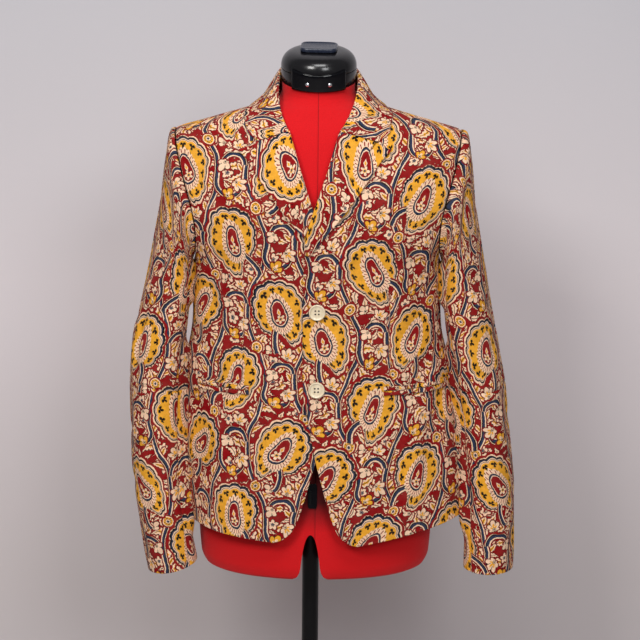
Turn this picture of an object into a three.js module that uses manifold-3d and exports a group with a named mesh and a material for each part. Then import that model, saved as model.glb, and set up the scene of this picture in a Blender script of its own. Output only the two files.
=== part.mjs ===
// A block print blazer on a limbless dress form with a pole and a round base.
// Millimetres, +Z up. The front faces -Y and the wearer's left is +X. The origin is on the floor,
// under the pole, at the middle of the base. Every sewn piece is a wall of cloth.
import * as THREE from "three";
import { mergeVertices } from "three/addons/utils/BufferGeometryUtils.js";
import Module from "manifold-3d";

const wasm = await Module();
wasm.setup();

// Driving dimensions
const CLOTH = 1.6; // wall of a sewn piece
const SEAM = 0.3; // gap between two pieces
const LIE = 0.7; // gap under a piece that lies on another
const FORM_OFFSET = 6.5; // the form and jacket sit this far to the wearer's left of the pole
const HEM = { left: 845, right: 838, back: 838 }; // hem at the side seams and the centre back
const FRONT_CORNER = { left: 816, right: 821 }; // lowest point of the rounded front corners
const ARMPIT_HEIGHT = 1215;
const TIP_HEIGHT = 1399; // outer end of the shoulder seam
const NECK_POINT_HEIGHT = 1438; // inner end of the shoulder seam
const BACK_NECK_HEIGHT = 1441;
const BREAK_HEIGHT = 1236; // where the lapel starts to roll
const OVERLAP_LIFT = 2.5; // how far the upper front stands off the lower one
const BUTTON = { diameter: 23.5, thickness: 3.4, hole: 2.2, holeSpacing: 5.2, heights: [1157, 1045] };
const POCKET = { height: 1041, inner: 95, outer: { left: 187, right: 172 }, welt: 6.5 };
const ELBOW_HEIGHT = 1032;
const FORM_BOTTOM = 756;
const NECK_TILT = 0.21; // the top of the neck leans forward: rise for each mm towards the back
const NECK_TOP_HEIGHT = 1468;
const CAP = { radius: 52.3, bulge: 1.2, ring: 20, split: 1, domeRise: 23.2 };
const DIAL = { halfWidth: 26, halfDepth: 19.5, corner: 8, height: 5.8, chamfer: 1.2 }; // a bar that turns
const POLE = { radius: 12.2, bottom: 22, top: 1150 };
const BASE = { radius: 190, thickness: 12, hubRadius: 30, hubHeight: 60 };

function table(names, rows) {
  return rows.map((row) => Object.fromEntries(names.map((name, i) => [name, row[i]])));
}

// A smooth curve through one column of a table, read at a value of its key column.
// The slopes are limited, so that the curve never overshoots a row.
function along(rows, key, column, at) {
  const slope = (i) => (rows[i + 1][column] - rows[i][column]) / (rows[i + 1][key] - rows[i][key]);
  const tangent = (i) => {
    if (i === 0) return slope(0);
    if (i === rows.length - 1) return slope(i - 1);
    const [before, after] = [slope(i - 1), slope(i)];
    return before * after <= 0 ? 0 : (2 * before * after) / (before + after);
  };
  let i = 0;
  while (i < rows.length - 2 && at > rows[i + 1][key]) i += 1;
  const span = rows[i + 1][key] - rows[i][key];
  const f = (at - rows[i][key]) / span;
  if (f < 0) return rows[i][column] + tangent(i) * span * f;
  if (f > 1) return rows[i + 1][column] + tangent(i + 1) * span * (f - 1);
  const [p, q] = [rows[i][column], rows[i + 1][column]];
  const [u, v] = [tangent(i) * span, tangent(i + 1) * span];
  return p + f * (u + f * (3 * (q - p) - 2 * u - v + f * (2 * (p - q) + u + v)));
}

const mix = (a, b, f) => a + (b - a) * f;
const clamp = (value) => Math.min(1, Math.max(0, value));
const ease = (from, to, value) => {
  const f = clamp((value - from) / (to - from));
  return f * f * (3 - 2 * f);
};
const rad = THREE.MathUtils.degToRad;
const deg = THREE.MathUtils.radToDeg;

// Outer surface of the jacket's body: one rounded section at each height. halfWidth is to the
// side, front and back are the depths at the centre, squareness is the section's exponent.
const BODY = table(["z", "halfWidth", "front", "back", "squareness"], [
  [800, 225, 122, 121, 2.15],
  [834, 222, 121, 119, 2.15],
  [900, 218, 119, 114, 2.15],
  [980, 207.5, 116, 107, 2.2],
  [1060, 193.5, 113, 100, 2.2],
  [1120, 180.5, 113, 96, 2.2],
  [1180, 178, 117, 99, 2.25],
  [1215, 177, 121, 103, 2.3],
  [1250, 193, 124, 106, 2.3],
  [1290, 211, 124, 108, 2.3],
  [1340, 223, 113, 109, 2.3],
  [1375, 221, 100, 107, 2.3],
  [1399, 202, 88, 103, 2.2],
  [1408, 172, 82, 100, 2.2],
  [1417, 141, 76, 96, 2.2],
  [1426, 110, 70, 91, 2.2],
  [1434, 86, 64, 85, 2.2],
  [1441, 72, 58, 79, 2.2],
  [1450, 62, 52, 72, 2.2],
]);

// The wearer's right sleeve presses the body in by this much at the side.
const TUCK = table(["z", "depth"], [
  [800, 37],
  [834, 33],
  [900, 25],
  [980, 14.5],
  [1060, 4.5],
  [1110, 0],
  [1450, 0],
]);

// A point of the body surface. turn is in degrees: 0 is the centre front, 90 the wearer's left
// side and 180 the centre back.
function bodySurface(turn, z) {
  const a = rad(turn);
  const n = along(BODY, "z", "squareness", z);
  const round = (Math.abs(Math.sin(a)) ** n + Math.abs(Math.cos(a)) ** n) ** (-1 / n);
  const depth = along(BODY, "z", Math.cos(a) > 0 ? "front" : "back", z);
  const tuck = Math.sin(a) < 0 ? along(TUCK, "z", "depth", z) * ease(0, 1, Math.sin(a) ** 2) : 0;
  return new THREE.Vector3(
    (along(BODY, "z", "halfWidth", z) - tuck) * Math.sin(a) * round,
    -depth * Math.cos(a) * round,
    z,
  );
}

function bodyNormal(turn, z) {
  const across = bodySurface(turn + 0.5, z).sub(bodySurface(turn - 0.5, z));
  const up = bodySurface(turn, z + 0.5).sub(bodySurface(turn, z - 0.5));
  return across.cross(up).normalize();
}

// A sample of the body surface, moved out along its normal.
function bodySample(turn, z, out = 0) {
  const normal = bodyNormal(turn, z);
  return { point: bodySurface(turn, z).addScaledVector(normal, out), normal };
}

// The turn at which the front of the body surface reaches a given x.
function turnAt(x, z) {
  const n = along(BODY, "z", "squareness", z);
  const s = Math.min(1, Math.abs(x) / along(BODY, "z", "halfWidth", z));
  return Math.sign(x) * deg(Math.atan2(s, (1 - s ** n) ** (1 / n)));
}

// Wall of cloth on a grid of samples: the outer face is at the samples and the inner face is
// one thickness inside. A closed grid joins its last column to its first.
function clothWall(columns, rows, sample, { thickness = CLOTH, closed = false } = {}) {
  const across = closed ? columns : columns + 1;
  const layer = across * (rows + 1);
  const positions = new Float32Array(layer * 2 * 3);
  for (let j = 0; j <= rows; j += 1) {
    for (let i = 0; i < across; i += 1) {
      const { point, normal } = sample(i / columns, j / rows);
      const inner = point.clone().addScaledVector(normal, -thickness);
      point.toArray(positions, (j * across + i) * 3);
      inner.toArray(positions, (layer + j * across + i) * 3);
    }
  }
  const at = (i, j) => j * across + (i % across);
  const triangles = [];
  const quad = (a, b, c, d) => triangles.push(a, b, c, a, c, d);
  for (let j = 0; j < rows; j += 1) {
    for (let i = 0; i < columns; i += 1) {
      quad(at(i, j), at(i + 1, j), at(i + 1, j + 1), at(i, j + 1));
      quad(layer + at(i, j + 1), layer + at(i + 1, j + 1), layer + at(i + 1, j), layer + at(i, j));
    }
  }
  for (let i = 0; i < columns; i += 1) {
    quad(at(i + 1, 0), at(i, 0), layer + at(i, 0), layer + at(i + 1, 0));
    quad(at(i, rows), at(i + 1, rows), layer + at(i + 1, rows), layer + at(i, rows));
  }
  if (!closed) {
    for (let j = 0; j < rows; j += 1) {
      quad(at(0, j), at(0, j + 1), layer + at(0, j + 1), layer + at(0, j));
      quad(at(columns, j + 1), at(columns, j), layer + at(columns, j), layer + at(columns, j + 1));
    }
  }
  return facingOut(geometryOf(positions, triangles));
}

function geometryOf(positions, triangles) {
  const geometry = new THREE.BufferGeometry();
  geometry.setAttribute("position", new THREE.BufferAttribute(positions, 3));
  geometry.setIndex(triangles);
  return geometry;
}

// Turns a closed mesh the right way out: its signed volume has to be positive.
function facingOut(geometry) {
  const index = Array.from(geometry.index.array);
  const corner = (i) => new THREE.Vector3().fromBufferAttribute(geometry.attributes.position, index[i]);
  let volume = 0;
  for (let i = 0; i < index.length; i += 3) volume += corner(i).dot(corner(i + 1).cross(corner(i + 2)));
  if (volume < 0) {
    for (let i = 0; i < index.length; i += 3) [index[i], index[i + 1]] = [index[i + 1], index[i]];
    geometry.setIndex(index);
  }
  return geometry;
}

// Fronts. x is the distance of the front edge from the centre, towards the other front.
const FRONT_EDGE = table(["z", "x"], [
  [816, 60],
  [819, 50],
  [824, 42],
  [836, 31.5],
  [864, 20.5],
  [906, 9],
  [945, -1],
  [990, -9],
  [1040, -18],
  [1090, -19.5],
  [1190, -19.5],
  [1236, -17],
]);

// Roll line of the lapel: distance from the axis of the V, which is a little off centre.
const ROLL_LINE = table(["z", "x"], [
  [1236, -12],
  [1262, -7.5],
  [1290, 0],
  [1313, 8.5],
  [1352, 21.8],
  [1403, 38],
  [1418, 44.5],
  [1434, 51],
  [1449, 55],
]);
const vShift = (z) => -5 * (1 - ease(1400, 1480, z));
const rollX = (side, z) => side * along(ROLL_LINE, "z", "x", z) + vShift(z);

// Neck seam of the body, from the gorge at the front round to the centre back.
const GORGE_HEIGHT = 1403;
const NECK_SEAM = table(["f", "turn", "z"], [
  [0, 13.5, GORGE_HEIGHT],
  [0.16, 21.5, 1418],
  [0.33, 42, 1431],
  [0.5, 64, 1436],
  [0.68, 90, NECK_POINT_HEIGHT],
  [0.8, 120, 1440],
  [0.9, 150, BACK_NECK_HEIGHT],
  [1, 180, BACK_NECK_HEIGHT],
]);
const NECK_POINT_SHARE = 0.68;

// Armhole: how far out it lies at each height, the same on the front and the back.
const ARMHOLE = table(["z", "x"], [
  [ARMPIT_HEIGHT, 176],
  [1226, 173.5],
  [1245, 171.5],
  [1265, 172],
  [1290, 175.5],
  [1315, 182],
  [1340, 189],
  [1365, 195.5],
  [1385, 199.8],
  [TIP_HEIGHT, 202],
]);

// A place on the armhole: 0 at the shoulder tip, 90 in the front, 180 at the armpit, 270 behind.
function armholePlace(around) {
  const middle = (TIP_HEIGHT + ARMPIT_HEIGHT) / 2;
  const z = middle + ((TIP_HEIGHT - ARMPIT_HEIGHT) / 2) * Math.cos(rad(around));
  const turn = turnAt(along(ARMHOLE, "z", "x", z), z);
  return { turn: around <= 180 ? turn : 180 - turn, z };
}

// Half a seam is kept clear at the side and shoulder seams, and at the centre back seam.
const HALF_SEAM = deg(SEAM / 2 / 80);
const SIDE_TURN = 90;
const BACK_TURN = 180;

const ROWS = { belowArmpit: 9, besideArmhole: 9 };
const rowCount = ROWS.belowArmpit + ROWS.besideArmhole;
const armpitShare = ROWS.belowArmpit / rowCount;

const sideName = (side) => (side > 0 ? "left" : "right");

// Side seam below and armhole above, as a place for each share of a panel's height.
function outerEdge(side, share, front) {
  if (share <= armpitShare) {
    return { turn: SIDE_TURN, z: mix(HEM[sideName(side)], ARMPIT_HEIGHT, share / armpitShare) };
  }
  const f = (share - armpitShare) / (1 - armpitShare);
  return armholePlace(front ? 180 * (1 - f) : 180 * (1 + f));
}

// Centre front edge, roll line and front neck seam, as a place for each share of its height.
const FRONT_STATIONS = table(["share", "z"], [
  [0, 816],
  [0.03, 819],
  [0.07, 826],
  [0.14, 864],
  [0.25, 945],
  [0.38, 1060],
  [armpitShare, BREAK_HEIGHT - 20],
  [0.6, 1290],
  [0.74, 1352],
  [0.86, GORGE_HEIGHT],
]);
const GORGE_SHARE = 0.86;

function frontEdge(side, share) {
  if (share <= GORGE_SHARE) {
    const z = along(FRONT_STATIONS, "share", "z", share);
    if (z > BREAK_HEIGHT) return { turn: turnAt(rollX(side, z) * side, z), z };
    const raise = (FRONT_CORNER[sideName(side)] - FRONT_CORNER.left) * (1 - ease(0.05, 0.25, share));
    return { turn: turnAt(along(FRONT_EDGE, "z", "x", z), z), z: z + raise };
  }
  const f = ((share - GORGE_SHARE) / (1 - GORGE_SHARE)) * NECK_POINT_SHARE;
  const gorgeTurn = turnAt(rollX(side, GORGE_HEIGHT) * side, GORGE_HEIGHT);
  const start = gorgeTurn - NECK_SEAM[0].turn;
  const turn = along(NECK_SEAM, "f", "turn", f) + start * (1 - f / NECK_POINT_SHARE);
  return { turn, z: along(NECK_SEAM, "f", "z", f) };
}

// The upper front is lifted where it laps over the lower one, and more where the lapel rolls.
function frontLift(side, turn, z) {
  if (side < 0) return 0;
  const x = bodySurface(turn, z).x;
  const lapped = OVERLAP_LIFT * (1 - ease(24, 62, x)) * (1 - ease(1300, 1350, z));
  const rolled = 2 * (1 - ease(-4, 30, x)) * ease(1200, 1262, z) * (1 - ease(1300, 1350, z));
  return lapped + rolled;
}

// A place on a front: s runs from its edge to the side seam and t from the hem up. The hem rises
// quickly from its rounded corner and then levels out.
function frontPlace(side, s, t) {
  const inner = frontEdge(side, t);
  const outer = outerEdge(side, t, true);
  const turn = Math.min(SIDE_TURN - HALF_SEAM, mix(inner.turn, outer.turn, s));
  const bow = (Math.sin((s * Math.PI) / 2) - s) * (outer.z - inner.z) * (1 - ease(0, 0.25, t));
  return { turn, z: mix(inner.z, outer.z, s) + bow };
}

function frontSample(side, turn, z, out = 0) {
  return bodySample(side * turn, z, out + frontLift(side, turn, z));
}

const FRONT_COLUMNS = 11;
const BACK_COLUMNS = 8;

const smoothShare = (s) => mix(s, Math.sin((s * Math.PI) / 2), 0.35);

function frontPanel(side) {
  return clothWall(FRONT_COLUMNS, rowCount, (s, t) => {
    const { turn, z } = frontPlace(side, smoothShare(s), t);
    return frontSample(side, turn, z);
  });
}

// Back: the centre back seam, then the back neck, up to the same shoulder seam.
const BACK_NECK_SHARE = 0.9;

function centreBackEdge(share) {
  if (share <= BACK_NECK_SHARE) {
    return { turn: BACK_TURN, z: mix(HEM.back, BACK_NECK_HEIGHT, share / BACK_NECK_SHARE) };
  }
  const f = mix(1, NECK_POINT_SHARE, (share - BACK_NECK_SHARE) / (1 - BACK_NECK_SHARE));
  return { turn: along(NECK_SEAM, "f", "turn", f), z: along(NECK_SEAM, "f", "z", f) };
}

function backPanel(side) {
  return clothWall(BACK_COLUMNS, rowCount, (s, t) => {
    const outer = outerEdge(side, t, false);
    const centre = centreBackEdge(t);
    const turn = Math.max(SIDE_TURN + HALF_SEAM, mix(outer.turn, centre.turn, s));
    return bodySample(side * Math.min(BACK_TURN - HALF_SEAM, turn), mix(outer.z, centre.z, s));
  });
}

// Lapels, from the gorge down to the break. Each is cut from its front and moved out.
const LAPEL_EDGE = table(["z", "x"], [
  [1233, -9],
  [1250, 4],
  [1278, 27],
  [1306, 50],
  [1333, 70],
  [1348, 80],
  [1364, 91],
  [1380, 106],
]);
const NOTCH = { z: 1391, x: 83 };
const LAPEL_POINT = { z: 1380, x: 106 };
const COLLAR_POINT = { z: 1402, x: 99 };
const GORGE_NOTCH_SHARE = 0.6;

// The top of the lapel: from the roll line along the gorge to the notch, then out to its point.
function gorgeLine(side, share, point) {
  const start = { z: GORGE_HEIGHT, x: rollX(side, GORGE_HEIGHT) * side };
  const [from, to, f] = share < GORGE_NOTCH_SHARE
    ? [start, NOTCH, share / GORGE_NOTCH_SHARE]
    : [NOTCH, point, (share - GORGE_NOTCH_SHARE) / (1 - GORGE_NOTCH_SHARE)];
  return { x: mix(from.x, to.x, f), z: mix(from.z, to.z, f) };
}

function lapel(side) {
  const low = side > 0 ? 1240 : 1290;
  const lowOuter = side > 0 ? 1237 : 1262;
  return clothWall(5, 10, (s, t) => {
    const top = gorgeLine(side, s, LAPEL_POINT);
    const topZ = top.z - SEAM;
    const inner = mix(low, GORGE_HEIGHT - SEAM, t);
    const outer = mix(lowOuter, LAPEL_POINT.z - SEAM, t);
    const straight = mix(GORGE_HEIGHT - SEAM, LAPEL_POINT.z - SEAM, s);
    const z = mix(inner, outer, s) + (topZ - straight) * t * t;
    const innerX = rollX(side, inner) * side;
    const outerX = along(LAPEL_EDGE, "z", "x", outer) + vShift(outer) * side;
    const straightX = mix(rollX(side, GORGE_HEIGHT) * side, LAPEL_POINT.x + vShift(1380) * side, s);
    const bend = (top.x + (s > GORGE_NOTCH_SHARE ? vShift(1380) * side * s : 0) - straightX) * t * t;
    return frontSample(side, turnAt(mix(innerX, outerX, s) + bend, z), z, CLOTH + LIE);
  });
}

// Collar: the top edge is the roll line carried round the neck, f from the gorge to the back.
const COLLAR_ROLL = table(["f", "x", "y", "z"], [
  [0, 40, -88, GORGE_HEIGHT],
  [0.1, 46.5, -75, 1419],
  [0.22, 52.5, -60, 1436],
  [0.36, 56.5, -42, 1452],
  [0.5, 58.5, -16, 1468],
  [0.64, 57, 14, 1480],
  [0.78, 46, 41, 1487],
  [0.9, 26, 57, 1491],
  [1, 0, 63, 1492],
]);
const COLLAR_EDGE = table(["f", "turn", "z"], [
  [0, 27.5, COLLAR_POINT.z],
  [0.2, 47, 1418.5],
  [0.42, 70, 1427],
  [0.6, 90, 1430.5],
  [0.74, 115, 1430],
  [0.86, 140, 1427],
  [0.94, 160, 1425],
  [1, 180, 1424],
]);
const COLLAR_COLUMNS = 22;

// Half a collar mirrors the other; along runs from -1 at the wearer's right gorge to 1.
function collarPoint(alongNeck, down) {
  const side = Math.sign(alongNeck) || 1;
  const f = 1 - Math.abs(alongNeck);
  const read = (name) => along(COLLAR_ROLL, "f", name, f);
  const roll = new THREE.Vector3(side * read("x") + vShift(read("z")), read("y"), read("z"));
  const turn = along(COLLAR_EDGE, "f", "turn", f);
  const z = along(COLLAR_EDGE, "f", "z", f);
  const edge = bodySample(side * turn, z, CLOTH + LIE).point;
  const point = roll.lerp(edge, down);
  const hollow = -5 * Math.sin(Math.PI * down) * ease(0.15, 0.5, f);
  const out = new THREE.Vector3(Math.sin(rad(turn)) * side, -Math.cos(rad(turn)), 0.8).normalize();
  return point.addScaledVector(out, hollow);
}

function collarNormal(alongNeck, down) {
  const step = 0.02;
  const [a, b] = [Math.max(-1, alongNeck - step), Math.min(1, alongNeck + step)];
  const [c, d] = [Math.max(0, down - step), Math.min(1, down + step)];
  const across = collarPoint(b, down).sub(collarPoint(a, down));
  const downward = collarPoint(alongNeck, d).sub(collarPoint(alongNeck, c));
  return across.cross(downward).normalize();
}

// The fall ends at the gorge: there it lies on the fronts like the lapels.
function collarFall() {
  return clothWall(COLLAR_COLUMNS, 5, (s, t) => {
    const place = 1 - 2 * s;
    const side = Math.sign(place) || 1;
    const point = collarPoint(place, t);
    const normal = collarNormal(place, t).multiplyScalar(-1);
    const nearGorge = 1 - ease(0, 0.2, 1 - Math.abs(place));
    if (nearGorge === 0) return { point, normal };
    const end = gorgeLine(side, t, COLLAR_POINT);
    const x = mix(Math.abs(point.x), end.x + SEAM, nearGorge);
    const z = mix(point.z, end.z + SEAM, nearGorge);
    const lying = frontSample(side, turnAt(x, z), z, CLOTH + LIE);
    return {
      point: point.lerp(lying.point, nearGorge),
      normal: normal.lerp(lying.normal, nearGorge).normalize(),
    };
  });
}

// The stand: a band inside the fall, from the neck seam up to just under the roll.
function collarStand() {
  const start = 0.3; // the stand runs out where the collar lies down on the front
  return clothWall(COLLAR_COLUMNS, 2, (s, t) => {
    const place = (1 - 2 * s) * (1 - start);
    const side = Math.sign(place) || 1;
    const f = 1 - Math.abs(place);
    const read = (name) => along(COLLAR_ROLL, "f", name, f);
    const roll = new THREE.Vector3(side * read("x") + vShift(read("z")), read("y"), read("z"));
    const turn = along(NECK_SEAM, "f", "turn", f);
    const neck = bodySample(side * turn, along(NECK_SEAM, "f", "z", f), SEAM).point;
    const out = new THREE.Vector3(Math.sin(rad(turn)) * side, -Math.cos(rad(turn)), 0).normalize();
    const top = roll.addScaledVector(out, -CLOTH - SEAM).add(new THREE.Vector3(0, 0, -5));
    const bottom = neck.addScaledVector(out, -CLOTH).add(new THREE.Vector3(0, 0, 0.6));
    return { point: bottom.lerp(top, t), normal: out };
  });
}

// Sleeves: level sections below the armpit. tilt raises the outer side of a section, and toe
// turns its front towards the body, in degrees. The wearer's right sleeve comes in below the
// elbow and the left one hangs straight.
const SLEEVE_NAMES = ["z", "x", "y", "halfWidth", "halfDepth", "tilt", "toe"];
const SLEEVES = {
  right: table(SLEEVE_NAMES, [
    [768, 208, -46, 35.5, 48, -8, 8],
    [809, 216, -41, 36, 50, -4, 8],
    [874, 226, -33, 36.5, 54, 0, 9],
    [926, 230.5, -25, 37.5, 57, 4, 10],
    [985, 232, -17, 38, 60, 6, 10],
    [ELBOW_HEIGHT, 232, -12, 38.5, 63, 7, 10],
    [1096, 228, -8, 37.5, 66, 4, 11],
    [1144, 219.5, -4, 34.5, 69, 0, 11],
    [1190, 212.5, -2, 32, 72, 0, 11],
  ]),
  left: table(SLEEVE_NAMES, [
    [764, 254.5, -36, 36, 48, 0, 8],
    [809, 255, -32, 36, 50, 0, 8],
    [874, 254, -26, 36, 54, 0, 9],
    [926, 250, -21, 35.5, 57, 0, 10],
    [985, 244, -16, 35.5, 60, 0, 10],
    [ELBOW_HEIGHT, 238, -12, 36, 63, 0, 10],
    [1096, 226.5, -8, 35.5, 66, 0, 11],
    [1144, 218, -4, 33.5, 69, 0, 11],
    [1190, 212, -2, 32, 72, 0, 11],
  ]),
};
const SLEEVE_TOP = 1190;
const SLEEVE_SQUARENESS = 2.15;

function sleeveSection(side, around, z) {
  const rows = side > 0 ? SLEEVES.left : SLEEVES.right;
  const read = (name) => along(rows, "z", name, z);
  const [c, s] = [Math.cos(rad(around)), Math.sin(rad(around))];
  const n = SLEEVE_SQUARENESS;
  const round = (Math.abs(c) ** n + Math.abs(s) ** n) ** (-1 / n);
  const [out, ahead] = [read("halfWidth") * c * round, read("halfDepth") * s * round];
  const toe = rad(read("toe"));
  return new THREE.Vector3(
    side * (read("x") + out * Math.cos(toe) - ahead * Math.sin(toe)),
    read("y") - ahead * Math.cos(toe) - out * Math.sin(toe),
    z + read("tilt") * c,
  );
}

// The sleeve head leaves the armhole square to it, and bends down into the top section. reach
// is how far it goes out before it bends, drop how long it comes down, and lean how far that
// last stretch comes out from the body on its way down.
const SLEEVE_HEAD = table(["around", "reach", "rise", "drop", "lean"], [
  [0, 18, 6, 150, 37],
  [45, 22, 5, 105, 22],
  [90, 20, 0, 55, 6],
  [135, 9, 0, 18, 0],
  [180, 4.5, 0, 8, 0],
  [225, 9, 0, 18, 0],
  [270, 20, 0, 55, 6],
  [315, 22, 5, 105, 22],
  [360, 18, 6, 150, 37],
]);

function sleeveHead(side, around, f) {
  const place = armholePlace(around);
  const armhole = bodySample(side * place.turn, place.z).point;
  armhole.x += side * 3 * SEAM;
  const read = (name) => along(SLEEVE_HEAD, "around", name, around);
  const end = sleeveSection(side, around, SLEEVE_TOP);
  const reach = side * (read("reach") + (side > 0 ? 5 : 0) * Math.cos(rad(around / 2)) ** 2);
  const out = armhole.clone().add(new THREE.Vector3(reach, 0, read("rise")));
  const above = end.clone().add(new THREE.Vector3(-side * read("lean"), 0, read("drop")));
  return new THREE.CubicBezierCurve3(armhole, out, above, end).getPoint(f);
}

const HEAD_SHARE = 0.5; // share of the upper sleeve's rows above the top section

function upperSleevePoint(side, around, t) {
  if (t >= 1 - HEAD_SHARE) return sleeveHead(side, around, (1 - t) / HEAD_SHARE);
  return sleeveSection(side, around, mix(ELBOW_HEIGHT + SEAM / 2, SLEEVE_TOP, t / (1 - HEAD_SHARE)));
}

function lowerSleevePoint(side, around, t) {
  const cuff = (side > 0 ? SLEEVES.left : SLEEVES.right)[0].z;
  return sleeveSection(side, around, mix(cuff, ELBOW_HEIGHT - SEAM / 2, t));
}

function surfaceSample(pointAt, side, around, t) {
  const step = 0.01;
  const across = pointAt(side, around + 1, t).sub(pointAt(side, around - 1, t));
  const up = pointAt(side, around, Math.min(1, t + step));
  up.sub(pointAt(side, around, Math.max(0, t - step)));
  const normal = up.cross(across).multiplyScalar(side).normalize();
  return { point: pointAt(side, around, t), normal };
}

// The top sleeve covers the outside, and the under sleeve the inside against the body.
const SLEEVE_CUTS = {
  top: { from: -112, to: 132, columns: 12 },
  under: { from: 132, to: 248, columns: 7 },
};

function sleevePiece(side, cut, pointAt, rows) {
  const halfSeam = deg(SEAM / 2 / 36);
  return clothWall(cut.columns, rows, (s, t) => {
    const around = mix(cut.from + halfSeam, cut.to - halfSeam, s);
    return surfaceSample(pointAt, side, (around + 360) % 360, t);
  });
}

// Pocket welts: two strips of cloth on each front, one above and one below the opening.
function pocketWelt(side, low, high) {
  const outer = POCKET.outer[sideName(side)];
  return clothWall(7, 1, (s, t) => {
    const z = POCKET.height + mix(low, high, t);
    const turn = mix(turnAt(POCKET.inner, z), turnAt(outer, z), s);
    return frontSample(side, turn, z, CLOTH - 0.4 + LIE);
  }, { thickness: CLOTH - 0.4 });
}

// Solids that need a boolean
function toSolid(geometry) {
  const bare = geometry.clone();
  bare.deleteAttribute("normal");
  bare.deleteAttribute("uv");
  const merged = mergeVertices(bare, 1e-4);
  return new wasm.Manifold(new wasm.Mesh({
    numProp: 3,
    vertProperties: new Float32Array(merged.attributes.position.array),
    triVerts: new Uint32Array(merged.index.array),
  }));
}

function toGeometry(solid) {
  const { vertProperties, triVerts } = solid.getMesh();
  return geometryOf(new Float32Array(vertProperties), Array.from(triVerts));
}

function cylinderAlongZ(radius, low, high, segments) {
  const geometry = new THREE.CylinderGeometry(radius, radius, high - low, segments);
  return geometry.rotateX(Math.PI / 2).translate(0, 0, (low + high) / 2);
}

// Turned solid about Z from rows of radius and height, closed on the axis at both ends.
function turned(profile, segments) {
  const outline = profile.map(([radius, height]) => new THREE.Vector2(radius, height));
  return new THREE.LatheGeometry(outline, segments).rotateX(Math.PI / 2);
}

// Dress form: sections from its split bottom to the leaning top of its neck. Near the shoulder
// seam it holds the jacket up; elsewhere it stays well inside the cloth.
const FORM = table(["z", "halfWidth", "front", "back", "centre", "tilt"], [
  [FORM_BOTTOM, 152, 88, 86, 0, 0],
  [761, 161, 95, 93, 0, 0],
  [778, 168, 100, 99, 0, 0],
  [830, 171, 103, 104, 0, 0],
  [900, 169, 101, 103, 0, 0],
  [980, 152, 95, 88, 0, 0],
  [1060, 132, 88, 76, 0, 0],
  [1120, 133, 92, 78, 0, 0],
  [1190, 148, 106, 88, 0, 0],
  [1245, 158, 113, 95, 0, 0],
  [1300, 164, 108, 98, 0, 0],
  [1350, 168, 96, 97, 0, 0],
  [1385, 164, 86, 95, 0, 0],
  [1405.5, 154, 77, 93, 0, 0],
  [1414.6, 135, 71, 88, 0, 0],
  [1423.6, 106.5, 65, 83, 0, 0],
  [1431.6, 83, 60, 74, 0, 0],
  [1437, 68, 56, 66, 0, 0.02],
  [1445, 56, 53, 57, 0, 0.08],
  [1455, 52, 51, 53, 0, 0.15],
  [NECK_TOP_HEIGHT, 51.5, 51.5, 51.5, 0, NECK_TILT],
]);
const SLOT = { halfWidth: 16.5, height: 72 };

function formBody() {
  const segments = 36;
  const rings = FORM.length;
  const positions = [];
  for (const row of FORM) {
    for (let i = 0; i < segments; i += 1) {
      const a = (2 * Math.PI * i) / segments;
      const round = (Math.abs(Math.sin(a)) ** 2.1 + Math.abs(Math.cos(a)) ** 2.1) ** (-1 / 2.1);
      const y = row.centre - (Math.cos(a) > 0 ? row.front : row.back) * Math.cos(a) * round;
      positions.push(row.halfWidth * Math.sin(a) * round, y, row.z + row.tilt * y);
    }
  }
  positions.push(0, 0, FORM_BOTTOM, 0, 0, NECK_TOP_HEIGHT);
  const triangles = [];
  for (let j = 0; j < rings - 1; j += 1) {
    for (let i = 0; i < segments; i += 1) {
      const [a, b] = [j * segments + i, j * segments + ((i + 1) % segments)];
      triangles.push(a, b, b + segments, a, b + segments, a + segments);
    }
  }
  for (let i = 0; i < segments; i += 1) {
    const next = (i + 1) % segments;
    const top = (rings - 1) * segments;
    triangles.push(rings * segments, next, i, rings * segments + 1, top + i, top + next);
  }
  const whole = facingOut(geometryOf(new Float32Array(positions), triangles));
  return toGeometry(toSolid(whole).subtract(toSolid(slotCutter())).subtract(toSolid(poleBore())));
}

// The split at the bottom, an upside-down V right through from front to back
function slotCutter() {
  const outline = new THREE.Shape();
  outline.moveTo(-SLOT.halfWidth, -10);
  outline.lineTo(SLOT.halfWidth, -10);
  outline.lineTo(SLOT.halfWidth * 0.8, SLOT.height * 0.4);
  outline.quadraticCurveTo(SLOT.halfWidth * 0.5, SLOT.height, 0, SLOT.height);
  outline.quadraticCurveTo(-SLOT.halfWidth * 0.5, SLOT.height, -SLOT.halfWidth * 0.8, SLOT.height * 0.4);
  outline.closePath();
  const cutter = new THREE.ExtrudeGeometry(outline, { depth: 300, bevelEnabled: false, curveSegments: 6 });
  return cutter.rotateX(Math.PI / 2).translate(-FORM_OFFSET, 150, FORM_BOTTOM);
}

function poleBore() {
  const bore = cylinderAlongZ(POLE.radius + SEAM, FORM_BOTTOM - 10, POLE.top + SEAM, 24);
  return bore.translate(-FORM_OFFSET, 0, 0);
}

// Neck cap, in its own frame: z = 0 is the top of the form's neck
function capRing() {
  return turned([[0, 0], [CAP.radius, 0], [CAP.radius + 1, CAP.ring * 0.5],
    [CAP.radius + CAP.bulge, CAP.ring], [0, CAP.ring]], 36);
}

function capDome() {
  const low = CAP.ring + SEAM;
  const radius = CAP.radius + CAP.bulge;
  const profile = [[0, low], [radius - CAP.split, low], [radius, low + CAP.split]];
  for (const share of [0.985, 0.95, 0.88, 0.78, 0.62, 0.4]) {
    profile.push([radius * share, low + CAP.split + CAP.domeRise * (1 - share ** 5.5) ** 0.5]);
  }
  const top = low + CAP.split + CAP.domeRise;
  profile.push([0, top]);
  return { geometry: turned(profile, 36), top };
}

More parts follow.
